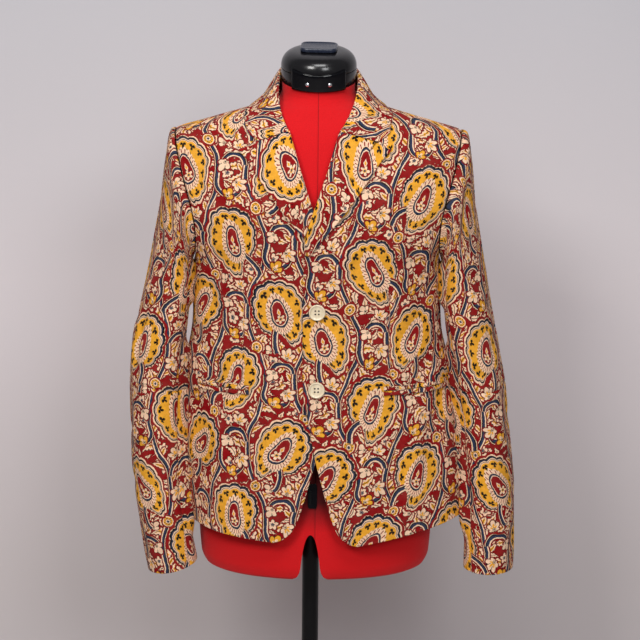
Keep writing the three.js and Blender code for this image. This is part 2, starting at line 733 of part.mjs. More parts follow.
// A rounded bar with a chamfer round both faces
function dial(low) {
  const { halfWidth: w, halfDepth: d, corner: r, chamfer: c } = DIAL;
  const outline = new THREE.Shape();
  const [x, y] = [w - c, d - c];
  outline.moveTo(-x + r, -y);
  outline.lineTo(x - r, -y);
  outline.absarc(x - r, -y + r, r, -Math.PI / 2, 0);
  outline.absarc(x - r, y - r, r, 0, Math.PI / 2);
  outline.absarc(-x + r, y - r, r, Math.PI / 2, Math.PI);
  outline.absarc(-x + r, -y + r, r, Math.PI, Math.PI * 1.5);
  const bar = new THREE.ExtrudeGeometry(outline, {
    depth: DIAL.height - 2 * c, bevelThickness: c, bevelSize: c, bevelSegments: 1, curveSegments: 5,
  });
  return toGeometry(toSolid(bar.translate(0, 0, low + c)));
}

const PLATE = { half: 42, low: -1, high: 23, scoop: 6.4, thickness: 4 };

function capPlate() {
  return clothWall(8, 3, (s, t) => {
    const turn = rad(mix(-PLATE.half, PLATE.half, s));
    const normal = new THREE.Vector3(Math.sin(turn), -Math.cos(turn), 0);
    const radius = CAP.radius + CAP.bulge + SEAM + PLATE.thickness;
    const high = PLATE.high + PLATE.scoop * (2 * s - 1) ** 2; // its top edge is scooped
    const point = normal.clone().multiplyScalar(radius).setZ(mix(PLATE.low, high, t));
    return { point, normal };
  }, { thickness: PLATE.thickness });
}

function plateScrew() {
  return turned([[0, 0], [3, 0], [2.6, 1], [1.4, 1.7], [0, 1.9]], 12);
}

// Button: dished face, rounded rim and four holes
function button() {
  const [r, h] = [BUTTON.diameter / 2, BUTTON.thickness];
  const blank = turned([[0, 0], [r - 2.5, 0], [r - 0.5, h * 0.35], [r, h * 0.6], [r - 0.6, h * 0.93],
    [r - 1.6, h], [r - 3.2, h * 0.8], [0, h * 0.72]], 24);
  let solid = toSolid(blank);
  for (const [x, y] of [[-1, -1], [1, -1], [1, 1], [-1, 1]]) {
    const hole = cylinderAlongZ(BUTTON.hole / 2, -1, h + 1, 8);
    hole.translate((x * BUTTON.holeSpacing) / 2, (y * BUTTON.holeSpacing) / 2, 0);
    solid = solid.subtract(toSolid(hole));
  }
  return toGeometry(solid);
}

// Finishes
const printed = new THREE.MeshStandardMaterial({ color: 0x9a4a38, roughness: 0.9, metalness: 0 });
const covering = new THREE.MeshStandardMaterial({ color: 0xd0202a, roughness: 0.85, metalness: 0 });
const blackPlastic = new THREE.MeshStandardMaterial({ color: 0x0c0c10, roughness: 0.2, metalness: 0 });
const blackMetal = new THREE.MeshStandardMaterial({ color: 0x101012, roughness: 0.45, metalness: 0.2 });
const ivory = new THREE.MeshStandardMaterial({ color: 0xe4cba4, roughness: 0.4, metalness: 0 });
const steel = new THREE.MeshStandardMaterial({ color: 0xb9bbbe, roughness: 0.25, metalness: 1 });

const blazerOnForm = new THREE.Group();
const dressed = new THREE.Group();
dressed.position.x = FORM_OFFSET;
blazerOnForm.add(dressed);

function add(name, geometry, material, parent = dressed) {
  const mesh = new THREE.Mesh(geometry, material);
  mesh.name = name;
  parent.add(mesh);
  return mesh;
}

// Jacket
for (const [name, side] of [["left", 1], ["right", -1]]) {
  add(`front_${name}`, frontPanel(side), printed);
  add(`back_${name}`, backPanel(side), printed);
  add(`lapel_${name}`, lapel(side), printed);
  for (const [cutName, cut] of Object.entries(SLEEVE_CUTS)) {
    add(`sleeve_${name}_${cutName}_upper`, sleevePiece(side, cut, upperSleevePoint, 13), printed);
    add(`sleeve_${name}_${cutName}_lower`, sleevePiece(side, cut, lowerSleevePoint, 7), printed);
  }
  add(`pocket_${name}_upper_welt`, pocketWelt(side, 0.6, POCKET.welt), printed);
  add(`pocket_${name}_lower_welt`, pocketWelt(side, -POCKET.welt, -0.6), printed);
}
add("collar", collarFall(), printed);
add("collar_stand", collarStand(), printed);
BUTTON.heights.forEach((z, i) => {
  const seat = frontSample(1, turnAt(0.5, z), z, LIE + SEAM);
  const mesh = add(i === 0 ? "button_top" : "button_bottom", button(), ivory);
  mesh.position.copy(seat.point);
  mesh.quaternion.setFromUnitVectors(new THREE.Vector3(0, 0, 1), seat.normal);
});

// Dress form and stand
add("form_body", formBody(), covering);
const cap = new THREE.Group();
cap.position.set(0, 0, NECK_TOP_HEIGHT + SEAM);
cap.rotation.x = Math.atan(NECK_TILT);
dressed.add(cap);
const dome = capDome();
add("cap_ring", capRing(), blackPlastic, cap);
add("cap_dome", dome.geometry, blackPlastic, cap);
add("cap_dial", dial(dome.top + SEAM), blackPlastic, cap);
add("cap_plate", capPlate(), blackPlastic, cap);
[-14.5, 14.5].forEach((x, i) => {
  const turn = Math.asin(x / (CAP.radius + CAP.bulge));
  const holder = new THREE.Group();
  holder.rotation.z = turn;
  cap.add(holder);
  const screw = add(`cap_screw_${i + 1}`, plateScrew(), steel, holder);
  screw.rotation.x = Math.PI / 2;
  screw.position.set(0, -(CAP.radius + CAP.bulge + 2 * SEAM + PLATE.thickness), 10);
});
add("pole", cylinderAlongZ(POLE.radius, POLE.bottom, POLE.top, 24), blackMetal, blazerOnForm);
add("base_plate", turned([[0, 0], [BASE.radius, 0], [BASE.radius, BASE.thickness - 4],
  [BASE.radius - 6, BASE.thickness], [0, BASE.thickness]], 48), blackMetal, blazerOnForm);

// The hub holds the foot of the pole in a blind hole.
function baseHub() {
  const low = BASE.thickness + SEAM;
  const r = BASE.hubRadius;
  const blank = turned([[0, low], [r, low], [r, low + 8], [r - 9, low + 18],
    [r - 11, low + BASE.hubHeight], [0, low + BASE.hubHeight]], 24);
  const hole = cylinderAlongZ(POLE.radius + SEAM, POLE.bottom - SEAM, low + BASE.hubHeight + 5, 24);
  return toGeometry(toSolid(blank).subtract(toSolid(hole)));
}
add("base_hub", baseHub(), blackMetal, blazerOnForm);

export default blazerOnForm;
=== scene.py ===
# %% [markdown]
# # A block print blazer on a dress form
# A cotton jacket, printed by hand with carved blocks, stands on a red limbless form. The jacket
# is cloth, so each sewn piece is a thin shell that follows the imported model. The form, the neck
# cap, the pole and the base are smooth hard shapes, and they are turned or lofted.
# Everything is measured in millimetres here and turned into metres when a mesh is made.

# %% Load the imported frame
import math

import bpy
import numpy as np
from mathutils import Matrix


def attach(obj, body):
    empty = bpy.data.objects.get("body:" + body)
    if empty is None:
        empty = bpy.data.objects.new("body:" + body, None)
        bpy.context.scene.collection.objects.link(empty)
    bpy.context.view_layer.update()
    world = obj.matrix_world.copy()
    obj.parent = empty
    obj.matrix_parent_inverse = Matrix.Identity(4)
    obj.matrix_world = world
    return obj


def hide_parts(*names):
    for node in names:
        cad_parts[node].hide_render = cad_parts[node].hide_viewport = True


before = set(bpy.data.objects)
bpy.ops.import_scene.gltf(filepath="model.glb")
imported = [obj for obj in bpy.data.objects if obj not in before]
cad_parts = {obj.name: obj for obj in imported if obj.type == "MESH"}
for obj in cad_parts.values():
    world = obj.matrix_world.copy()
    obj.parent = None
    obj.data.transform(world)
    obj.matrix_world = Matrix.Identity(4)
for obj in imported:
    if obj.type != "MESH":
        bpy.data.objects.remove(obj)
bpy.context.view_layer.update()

# %% [markdown]
# ## The camera
# The picture was taken from straight in front, a little above the chest, with a longish lens. The
# camera stands 3 m away and looks 12 degrees down. It leans half a degree, as the picture does.

# %% Camera and view
LENS = 116.4
AIM = (0.01114, 0.0, 1.121)
DISTANCE = 3.0
LOOK_DOWN = math.radians(12)
LEAN = math.radians(0.49)

camera_data = bpy.data.cameras.new("camera")
camera_data.lens = LENS
camera_data.sensor_width = 36
camera = bpy.data.objects.new("camera", camera_data)
bpy.context.collection.objects.link(camera)
turn = Matrix.Rotation(math.pi / 2 - LOOK_DOWN, 4, "X") @ Matrix.Rotation(LEAN, 4, "Z")
eye = (AIM[0], -DISTANCE * math.cos(LOOK_DOWN), AIM[2] + DISTANCE * math.sin(LOOK_DOWN))
camera.matrix_world = Matrix.Translation(eye) @ turn
bpy.context.scene.camera = camera
bpy.context.scene.view_settings.view_transform = "Standard"
print("eye", [round(v, 3) for v in eye])

# %% [markdown]
# ## Tables and curves
# A pattern cutter notes a jacket's width at a few heights and draws a smooth line through them.
# Here too the sizes stand in short tables, one row for each height or place. Splines would bulge
# between uneven rows, so the slopes of this curve are limited and it never swings past a row.

# %% Tables
MM = 0.001
CLOTH = 1.6
SEAM = 0.3
LIE = 0.7
FORM_OFFSET = 6.5
SIDES = {1: "left", -1: "right"}


def table(names, *rows):
    """Columns by name, as arrays, from rows of numbers."""
    return {name: np.array([row[i] for row in rows], float) for i, name in enumerate(names.split())}


def along(rows, key, column, at):
    """Monotone cubic through (key, column): the slope at a row is the harmonic mean of the slopes
    on its two sides, or 0 where they differ in sign. Outside the rows the curve goes on straight."""
    k, q = rows[key], rows[column]
    at = np.asarray(at, float)
    slope = np.diff(q) / np.diff(k)
    before, after = slope[:-1], slope[1:]
    agree = before * after > 0
    inner = np.where(agree, 2 * before * after / np.where(agree, before + after, 1.0), 0.0)
    tangent = np.concatenate([slope[:1], inner, slope[-1:]])
    i = np.searchsorted(k[1:-1], at, side="left")
    span = k[i + 1] - k[i]
    f = (at - k[i]) / span
    p, r = q[i], q[i + 1]
    u, v = tangent[i] * span, tangent[i + 1] * span
    inside = p + f * (u + f * (3 * (r - p) - 2 * u - v + f * (2 * (p - r) + u + v)))
    return np.where(f < 0, p + u * f, np.where(f > 1, r + v * (f - 1), inside))


def mix(a, b, f):
    return a + (b - a) * f


def ease(start, end, value):
    """0 before start, 1 after end, and 3f^2 - 2f^3 between them."""
    f = np.clip((np.asarray(value, float) - start) / (end - start), 0, 1)
    return f * f * (3 - 2 * f)


def unit(vectors):
    return vectors / np.maximum(np.linalg.norm(vectors, axis=-1, keepdims=True), 1e-9)


def run_length(points, axis=0):
    """Distance from the first point of each line along an axis of a grid, summed from chords."""
    chords = np.linalg.norm(np.diff(points, axis=axis), axis=-1)
    return np.insert(np.cumsum(chords, axis), 0, 0.0, axis=axis)


def axes_matrix(x, y, z, place):
    """The matrix with these three axes as its columns, at a place."""
    rows = np.stack([x, y, z], 1)
    return Matrix([[*row, place[k]] for k, row in enumerate(rows)] + [[0, 0, 0, 1]])


# %% [markdown]
# ## From arrays to meshes
# A sewn piece is two grids of points, one cloth thickness apart, closed round the rim. A solidify
# modifier could add the thickness too, but whole arrays keep the inner side under control where
# the cloth folds. Each point also carries its place on the flat cloth, so the print follows the cut.

# %% Mesh makers
def grid_quads(rows, columns, start=0, closed=False):
    """Corner numbers of the quads between neighbouring points of a grid."""
    wide = columns if closed else columns - 1
    i, j = np.meshgrid(np.arange(wide), np.arange(rows - 1))
    a = start + j * columns + i
    b = start + j * columns + (i + 1) % columns
    return np.stack([a, b, b + columns, a + columns], -1).reshape(-1, 4)


def enclosed(points, quads):
    """Six times the signed volume inside a closed mesh of quads."""
    a, b, c, d = (points[quads[:, k]] for k in range(4))
    first = np.einsum("ij,ij->i", a, np.cross(b, c))
    return (first + np.einsum("ij,ij->i", a, np.cross(c, d))).sum()


def make_object(name, points, faces, smooth, flat_places=None):
    """A mesh object from points in millimetres, faces, and a place on the flat cloth per point."""
    mesh = bpy.data.meshes.new(name)
    mesh.from_pydata((points * MM).tolist(), [], [list(face) for face in faces])
    mesh.polygons.foreach_set("use_smooth", np.asarray(smooth, bool))
    if flat_places is not None:
        corners = np.empty(len(mesh.loops), np.int32)
        mesh.loops.foreach_get("vertex_index", corners)
        layer = mesh.uv_layers.new(name="cloth")
        layer.data.foreach_set("uv", (flat_places[corners] * MM).ravel().astype(np.float32))
    mesh.update()
    obj = bpy.data.objects.new(name, mesh)
    bpy.context.collection.objects.link(obj)
    return obj


def move_mm(obj, matrix):
    """Moves a mesh by a matrix whose lengths are in millimetres."""
    obj.data.transform(Matrix.Scale(MM, 4) @ matrix @ Matrix.Scale(1 / MM, 4))
    obj.data.update()


def cloth_object(name, outer, normal, flat_places, thickness=CLOTH):
    """Wall of cloth: the outer grid, the same grid one thickness inside, and four strips of rim."""
    rows, columns = outer.shape[:2]
    layer = rows * columns
    points = np.concatenate([outer.reshape(-1, 3), (outer - normal * thickness).reshape(-1, 3)])
    front = grid_quads(rows, columns)
    back = grid_quads(rows, columns, layer)[:, ::-1]
    across, up = np.arange(columns), np.arange(rows) * columns
    loop = np.concatenate([across, up[1:] + columns - 1, (layer - 1) - across[1:], up[::-1][1:]])
    a, b = loop[:-1], loop[1:]
    rim = np.stack([b, a, a + layer, b + layer], -1)
    quads = np.concatenate([front, back, rim])
    if enclosed(points, quads) < 0:
        quads = quads[:, ::-1]
    smooth = np.arange(len(quads)) < len(front) + len(back)
    places = np.concatenate([flat_places.reshape(-1, 2)] * 2)
    return make_object(name, points, quads, smooth, places)


def normals_of(grid):
    """Normals of a grid of points, from the differences between its neighbours."""
    across = np.gradient(grid, axis=1)
    up = np.gradient(grid, axis=0)
    return unit(np.cross(across, up))


def cut_area(places):
    """Area of the flat cloth under a grid, in square millimetres, by the shoelace rule."""
    a, b, c, d = places[:-1, :-1], places[:-1, 1:], places[1:, 1:], places[1:, :-1]
    ac, bd = c - a, d - b
    return abs(ac[..., 0] * bd[..., 1] - ac[..., 1] * bd[..., 0]).sum() / 2


printed_pieces = []


def sew(obj, places, node, held, *rests_on):
    """Keeps a sewn piece for the printed cotton, hangs it on the root, hides the part it replaces,
    and prints the cut of what shows.
    """
    printed_pieces.append(obj)
    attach(obj, "root")
    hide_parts(node)
    width, length = (float(np.ptp(places[..., k])) for k in (0, 1))
    area = min(cut_area(places), 0.999 * width * length)
    area * MM**2
    print(f"{obj.name}: cut {width:.0f} x {length:.0f} mm, {area / 100:.0f} square cm")


# %% [markdown]
# ## The shape of the body
# The jacket hangs on a chest, a waist and shoulder pads, so one surface carries all its panels and
# neighbours meet without a step. Each height has one rounded section: a superellipse, a little
# squarer than an ellipse. Half its width, and its depth in front and behind, come from the table.
# The right sleeve presses the side in below the waist.

# %% Body surface
BODY = table(
    "z half front back square",
    [800, 225, 122, 121, 2.15],
    [834, 222, 121, 119, 2.15],
    [900, 218, 119, 114, 2.15],
    [980, 207.5, 116, 107, 2.2],
    [1060, 193.5, 113, 100, 2.2],
    [1120, 180.5, 113, 96, 2.2],
    [1180, 178, 117, 99, 2.25],
    [1215, 177, 121, 103, 2.3],
    [1250, 193, 124, 106, 2.3],
    [1290, 211, 124, 108, 2.3],
    [1340, 223, 113, 109, 2.3],
    [1375, 221, 100, 107, 2.3],
    [1399, 202, 88, 103, 2.2],
    [1408, 172, 82, 100, 2.2],
    [1417, 141, 76, 96, 2.2],
    [1426, 110, 70, 91, 2.2],
    [1434, 86, 64, 85, 2.2],
    [1441, 72, 58, 79, 2.2],
    [1450, 62, 52, 72, 2.2],
)
TUCK = table(
    "z depth", [800, 37], [834, 33], [900, 25], [980, 14.5], [1060, 4.5], [1110, 0], [1450, 0]
)


def body_surface(turn, z):
    """x = (half - tuck) sin round, y = -depth cos round, with
    round = (|sin|^n + |cos|^n)^(-1/n). turn is 0 in front, 90 at the wearer's left, 180 behind."""
    a = np.radians(turn)
    sin, cos = np.sin(a), np.cos(a)
    n = along(BODY, "z", "square", z)
    rounding = (abs(sin) ** n + abs(cos) ** n) ** (-1 / n)
    depth = np.where(cos > 0, along(BODY, "z", "front", z), along(BODY, "z", "back", z))
    tuck = np.where(sin < 0, along(TUCK, "z", "depth", z) * ease(0, 1, sin**2), 0)
    x = (along(BODY, "z", "half", z) - tuck) * sin * rounding
    return np.stack(np.broadcast_arrays(x, -depth * cos * rounding, z), -1)


def body_normal(turn, z):
    across = body_surface(turn + 0.5, z) - body_surface(turn - 0.5, z)
    up = body_surface(turn, z + 0.5) - body_surface(turn, z - 0.5)
    return unit(np.cross(across, up))


def turn_at(x, z):
    """The turn at which the front of the body reaches x."""
    n = along(BODY, "z", "square", z)
    s = np.minimum(1, abs(x) / along(BODY, "z", "half", z))
    return np.sign(x) * np.degrees(np.arctan2(s, (1 - s**n) ** (1 / n)))


# %% [markdown]
# ## Places on the flat cloth
# A print has to lie on the cloth as it did on the printing table. So each point gets its distance
# round the body from the centre, and its distance up the cloth, which grows faster over the
# shoulders, where the cloth leans back.

# %% Flat places of the body
# How far each piece's cloth was moved under the printing table's repeat, across and up
PRINT_AT = {
    "front 1": (-11, 76),
    "front -1": (51, 36),
    "back 1": (17, 44),
    "back -1": (-50, 5),
    "lapel 1": (-56, -150),
    "lapel -1": (23, -84),
    "sleeve 1": (-38, 97),
    "sleeve -1": (28, 97),
}
TURNS = np.linspace(0, 180, 181)
HEIGHTS = np.linspace(790, 1450, 133)


def girth_table():
    """Distance round the section from the centre front, summed from short chords."""
    return run_length(body_surface(*np.meshgrid(TURNS, HEIGHTS)), 1)


def climb_table(name):
    """Distance up the cloth, over the shoulders too: the sum of sqrt(dz^2 + share * ddepth^2)."""
    depth = along(BODY, "z", name, HEIGHTS)
    lean = np.gradient(depth, HEIGHTS) * 1.6 * ease(1290, 1380, HEIGHTS)
    step = np.sqrt(1 + lean**2) * (HEIGHTS[1] - HEIGHTS[0])
    return HEIGHTS[0] + np.concatenate([[0], np.cumsum((step[1:] + step[:-1]) / 2)])


GIRTH = girth_table()
CLIMB = {"front": climb_table("front"), "back": climb_table("back")}
print("girth at the chest", round(2 * np.interp(1250, HEIGHTS, GIRTH[:, -1])), "mm")


def flat_place(turn, z):
    """(distance round from the centre front, distance up), read from the two tables."""
    t = np.clip(abs(turn), 0, 179.999)
    row = np.clip((z - HEIGHTS[0]) / (HEIGHTS[1] - HEIGHTS[0]), 0, len(HEIGHTS) - 1.001)
    j, i = row.astype(int), t.astype(int)
    f, g = row - j, t - i
    low = mix(GIRTH[j, i], GIRTH[j, i + 1], g)
    high = mix(GIRTH[j + 1, i], GIRTH[j + 1, i + 1], g)
    front, back = (np.interp(z, HEIGHTS, CLIMB[name]) for name in ("front", "back"))
    return np.stack([np.sign(turn) * mix(low, high, f), np.where(t < 90, front, back)], -1)


# %% [markdown]
# ## Creases
# Worn cotton has soft folds that start somewhere, deepen and fade out. A cloth simulation would
# find folds of its own, but these few have to lie where the picture has them. Each row is one fold:
# where it starts and ends, how far it bows, its half width and its depth, negative for a trough.
# Folds are summed, and every piece that lies on a panel gets the same ones.

# %% Creases
CREASE = "a0 b0 a1 b1 bow width depth"
CREASE_GAIN = 1.4


def creases(rows, a, b):
    """Sum of depth * exp(-(d / width)^2) * sin(pi t)^0.7, where t runs along a fold and d is the
    distance from its bowed line."""
    total = np.zeros(np.broadcast(a, b).shape)
    for k in range(len(rows["a0"])):
        a0, b0, a1, b1, bow, width, depth = (rows[name][k] for name in CREASE.split())
        along_a, along_b = a1 - a0, b1 - b0
        length = math.hypot(along_a, along_b)
        t = ((a - a0) * along_a + (b - b0) * along_b) / length**2
        d = ((a - a0) * along_b - (b - b0) * along_a) / length
        inside = np.clip(t, 0, 1)
        d = d - bow * 4 * inside * (1 - inside)
        total += depth * np.exp(-((d / width) ** 2)) * np.sin(math.pi * inside) ** 0.7
    return total * CREASE_GAIN


FRONT_CREASES = table(
    CREASE,
    [128, 1268, 168, 1120, 10, 9, -2.6],
    [150, 1262, 186, 1150, 6, 8, 2.2],
    [166, 1214, 120, 1104, -8, 12, -2.2],
    [60, 1240, 40, 1170, 4, 10, -1.6],
    [24, 1150, 96, 1120, 6, 9, -1.8],
    [28, 1040, 92, 1078, -5, 9, -1.7],
    [34, 1168, 92, 1196, -4, 10, 1.4],
    [176, 1100, 132, 1010, 8, 12, -2.4],
    [190, 1060, 168, 900, 8, 13, -3.0],
    [150, 1010, 138, 850, 5, 15, 2.2],
    [118, 990, 104, 846, -4, 14, -2.4],
    [70, 980, 66, 850, 5, 14, 1.8],
    [36, 960, 44, 860, 3, 10, -1.5],
    [150, 1330, 120, 1250, 8, 12, -1.8],
    [176, 1350, 158, 1290, 5, 9, -1.6],
    [-128, 1272, -166, 1130, -8, 10, -2.6],
    [-148, 1258, -184, 1140, -5, 8, 2.2],
    [-162, 1200, -112, 1110, 8, 12, -2.0],
    [-52, 1236, -34, 1172, -4, 10, -1.4],
    [-26, 1146, -88, 1116, -5, 9, -1.9],
    [-24, 1050, -88, 1082, 5, 9, -1.5],
    [-172, 1110, -128, 1016, -8, 12, -2.3],
    [-180, 1040, -166, 880, -7, 13, -2.6],
    [-146, 1000, -132, 846, -5, 14, 2.4],
    [-112, 996, -98, 850, 5, 14, -2.6],
    [-66, 985, -70, 852, -4, 14, 1.6],
    [-34, 960, -48, 868, -4, 10, -1.6],
    [-154, 1334, -118, 1256, -8, 12, -1.9],
    [-180, 1352, -160, 1296, -5, 9, -1.5],
    [-86, 1390, -128, 1340, 4, 12, -1.3],
    [96, 1392, 140, 1342, -4, 12, -1.4],
)
BACK_CREASES = table(
    CREASE,
    [150, 1300, 176, 1160, 9, 11, -3.0],
    [120, 1280, 150, 1130, 8, 12, 2.2],
    [-150, 1310, -176, 1150, -9, 11, -2.8],
    [-122, 1284, -148, 1140, -7, 12, 2.0],
    [10, 1410, 120, 1380, -6, 12, -1.8],
    [-14, 1404, -116, 1384, 6, 12, -1.6],
    [30, 1130, 120, 1090, 8, 12, -2.4],
    [-24, 1120, -118, 1096, -8, 12, -2.2],
    [150, 1080, 60, 1050, -6, 11, -1.9],
    [-152, 1070, -56, 1046, 6, 11, -2.0],
    [90, 1010, 108, 860, 4, 16, 2.6],
    [-86, 1004, -104, 858, -4, 16, 2.6],
    [44, 1000, 54, 852, 3, 13, -2.2],
    [-40, 1006, -52, 856, -3, 13, -2.0],
    [160, 1000, 168, 862, 4, 13, -2.6],
    [-150, 1000, -152, 862, -4, 13, -2.4],
)
print("folds in front and behind:", len(FRONT_CREASES["a0"]), len(BACK_CREASES["a0"]))

# %% [markdown]
# ## The fronts
# Each front runs from its edge to the side seam, and from the hem up to the shoulder. Below the
# break its edge curves away to a rounded corner. Above the break it is folded along the roll line.
# Its four edges are lines on the body surface, and a grid is blended between them: that keeps the
# rows level with the cloth's weft, as in a real cut.

# %% Front tables
HEM = {1: 845, -1: 838, 0: 838}
FRONT_CORNER = {1: 816, -1: 821}
ARMPIT, TIP, NECK_POINT, BACK_NECK, BREAK, GORGE = 1215, 1399, 1438, 1441, 1236, 1403
FRONT_EDGE = table(
    "z x",
    [816, 60],
    [819, 50],
    [824, 42],
    [836, 31.5],
    [864, 20.5],
    [906, 9],
    [945, -1],
    [990, -9],
    [1040, -18],
    [1090, -19.5],
    [1190, -19.5],
    [1236, -17],
)
ROLL_LINE = table(
    "z x",
    [1236, -12],
    [1262, -7.5],
    [1290, 0],
    [1313, 8.5],
    [1352, 21.8],
    [1403, 38],
    [1418, 44.5],
    [1434, 51],
    [1449, 55],
)
NECK_SEAM = table(
    "f turn z",
    [0, 13.5, GORGE],
    [0.16, 21.5, 1418],
    [0.33, 42, 1431],
    [0.5, 64, 1436],
    [0.68, 90, NECK_POINT],
    [0.8, 120, 1440],
    [0.9, 150, BACK_NECK],
    [1, 180, BACK_NECK],
)
ARMHOLE = table(
    "z x",
    [ARMPIT, 176],
    [1226, 173.5],
    [1245, 171.5],
    [1265, 172],
    [1290, 175.5],
    [1315, 182],
    [1340, 189],
    [1365, 195.5],
    [1385, 199.8],
    [TIP, 202],
)
FRONT_STATIONS = table(
    "share z",
    [0, 816],
    [0.03, 819],
    [0.07, 826],
    [0.14, 864],
    [0.25, 945],
    [0.38, 1060],
    [0.5, BREAK - 20],
    [0.6, 1290],
    [0.74, 1352],
    [0.86, GORGE],
)
GORGE_SHARE, NECK_SHARE, BACK_NECK_SHARE = 0.86, 0.68, 0.9
HALF_SEAM = math.degrees(SEAM / 2 / 80)


def v_shift(z):
    """The V of the neck hangs a little to the wearer's right."""
    return -5 * (1 - ease(1400, 1480, z))


def roll_x(side, z):
    return side * along(ROLL_LINE, "z", "x", z) + v_shift(z)


def armhole_place(around):
    """Turn and height on the armhole: 0 at the shoulder tip, 90 in front, 180 at the armpit."""
    z = (TIP + ARMPIT) / 2 + (TIP - ARMPIT) / 2 * np.cos(np.radians(around))
    turn = turn_at(along(ARMHOLE, "z", "x", z), z)
    return np.where(around <= 180, turn, 180 - turn), z


def outer_edge(side, share, front):
    """The side seam up to the armpit, then half of the armhole."""
    f = np.clip((share - 0.5) / 0.5, 0, 1)
    turn, z = armhole_place(180 * (1 - f) if front else 180 * (1 + f))
    low = share <= 0.5
    return np.where(low, 90, turn), np.where(low, mix(HEM[side], ARMPIT, share / 0.5), z)


def front_edge(side, share):
    """Front edge, roll line and front neck seam, by share of the panel's height."""
    z = along(FRONT_STATIONS, "share", "z", np.minimum(share, GORGE_SHARE))
    raised = (FRONT_CORNER[side] - 816) * (1 - ease(0.05, 0.25, share))
    below = turn_at(along(FRONT_EDGE, "z", "x", z), z)
    rolled = turn_at(roll_x(side, z) * side, z)
    f = np.clip((share - GORGE_SHARE) / (1 - GORGE_SHARE), 0, 1) * NECK_SHARE
    start = turn_at(roll_x(side, GORGE) * side, GORGE) - NECK_SEAM["turn"][0]
    neck_turn = along(NECK_SEAM, "f", "turn", f) + start * (1 - f / NECK_SHARE)
    on_neck = share > GORGE_SHARE
    turn = np.where(on_neck, neck_turn, np.where(z > BREAK, rolled, below))
    height = np.where(z > BREAK, z, z + raised)
    return turn, np.where(on_neck, along(NECK_SEAM, "f", "z", f), height)


def front_lift(side, turn, z):
    """The upper front stands off the lower one where it laps over it, and where it rolls."""
    x = body_surface(turn, z)[..., 0]
    lapped = 2.5 * (1 - ease(24, 62, x)) * (1 - ease(1300, 1350, z))
    rolled = 2 * (1 - ease(-4, 30, x)) * ease(1200, 1262, z) * (1 - ease(1300, 1350, z))
    return (lapped + rolled) * (side > 0)


DART = {"x": 103, "top": 1212, "bottom": 1050}
DART_SHARES = (0.385, 0.385, 0.415, 0.415)
DART_TAKES = 7


def cloth_relief(turn, z):
    """Folds, plus a slow wave of under 1 mm that keeps any stretch of cloth from being dead even."""
    x = body_surface(turn, z)[..., 0]
    front = creases(FRONT_CREASES, x, z)
    back = creases(BACK_CREASES, x, z)
    wave = 0.7 * np.sin(x / 31 + 1.3 * np.sin(z / 47)) * np.sin(z / 58 + 0.6)
    armhole = ease(0, 16, along(ARMHOLE, "z", "x", np.clip(z, ARMPIT, TIP)) - abs(x))
    calm = (1 - ease(1385, 1425, z)) * mix(1, armhole, ease(ARMPIT - 5, ARMPIT + 15, z))
    side = ease(84, 96, abs(turn))
    relief = (mix(front, back, side) + wave) * calm
    pressed = ease(58, 76, abs(turn)) * (1 - ease(104, 122, abs(turn)))
    return relief - pressed * np.maximum(relief, 0)


def dart_relief(turn, z):
    """The waist dart: a narrow trough along its stitching that fades at its upper point."""
    x = abs(body_surface(turn, z)[..., 0])
    low, high = DART["bottom"], DART["top"]
    length = ease(low - 8, low + 8, z) * (1 - ease(high - 60, high, z))
    return -1.5 * np.exp(-(((x - DART["x"]) / 1.7) ** 2)) * length


def on_front(side, turn, z, out=0.0):
    """A point of a front, folds and all, moved out along the body's normal."""
    lift = front_lift(side, turn, z) + cloth_relief(side * turn, z) + out
    return body_surface(side * turn, z) + body_normal(side * turn, z) * np.asarray(lift)[..., None]


# %% [markdown]
# The panels' edges turn in a little where they are sewn, so a seam reads as a soft groove. Grid
# lines stand closer there and at the dart. The print is cut through at the dart, where some cloth
# is taken away.

# %% Make the fronts
DIP, DIP_REACH = 1.1, 2.4


def edge_dip(s, t, spans):
    """How far the cloth turns in near its edges: dip exp(-(distance / reach)^2) at each sewn edge.
    spans holds the panel's width and height, and which of its four edges are sewn."""
    width, height, left, right, low, high = spans
    near = np.zeros(np.broadcast(s, t).shape)
    for sewn, distance in (
        (left, s * width),
        (right, (1 - s) * width),
        (low, t * height),
        (high, (1 - t) * height),
    ):
        near = np.maximum(near, sewn * np.exp(-((distance / DIP_REACH) ** 2)))
    return -DIP * near


def spaced(count, *places, low=0.0, high=1.0):
    """low to high, with steps about four times closer at the given places. The density is 1 plus
    3 exp(-((f - place) / 0.03)^2) at each of them, and its sum is read backwards."""
    f = np.linspace(low, high, 2000)
    near = [np.exp(-(((f - place) / (high - low) / 0.03) ** 2)) for place in places]
    total = np.cumsum(1 + 3 * sum(near, np.zeros(2000)))
    return np.interp(np.linspace(total[0], total[-1], count), total, f)


def make_front(side):
    s = spaced(100, 0, *DART_SHARES, 1)[None, :]
    t = spaced(170, 0, 1)[:, None]
    inner_turn, inner_z = front_edge(side, t)
    outer_turn, outer_z = outer_edge(side, t, True)
    share = mix(s, np.sin(s * math.pi / 2), 0.35)
    turn = np.minimum(90 - HALF_SEAM, mix(inner_turn, outer_turn, share))
    bow = (np.sin(share * math.pi / 2) - share) * (outer_z - inner_z) * (1 - ease(0, 0.25, t))
    z = mix(inner_z, outer_z, share) + bow
    out = dart_relief(turn, z) + edge_dip(s, t, (235, 610, 0, 1, 0, 1))
    outer = on_front(side, turn, z, out)
    places = flat_place(side * turn, z)
    x = abs(body_surface(turn, z)[..., 0])
    reach = ease(DART["bottom"] - 4, DART["bottom"] + 4, z) * (1 - ease(1110, DART["top"], z))
    places[..., 0] += side * DART_TAKES * ease(DART["x"] - 0.6, DART["x"] + 0.6, x) * reach
    places += np.array(PRINT_AT[f"front {side}"])
    name = f"front_{SIDES[side]}"
    obj = cloth_object(f"{name}_cloth", outer, body_normal(side * turn, z), places)
    sew(obj, places, name, "draped", "form_cover")


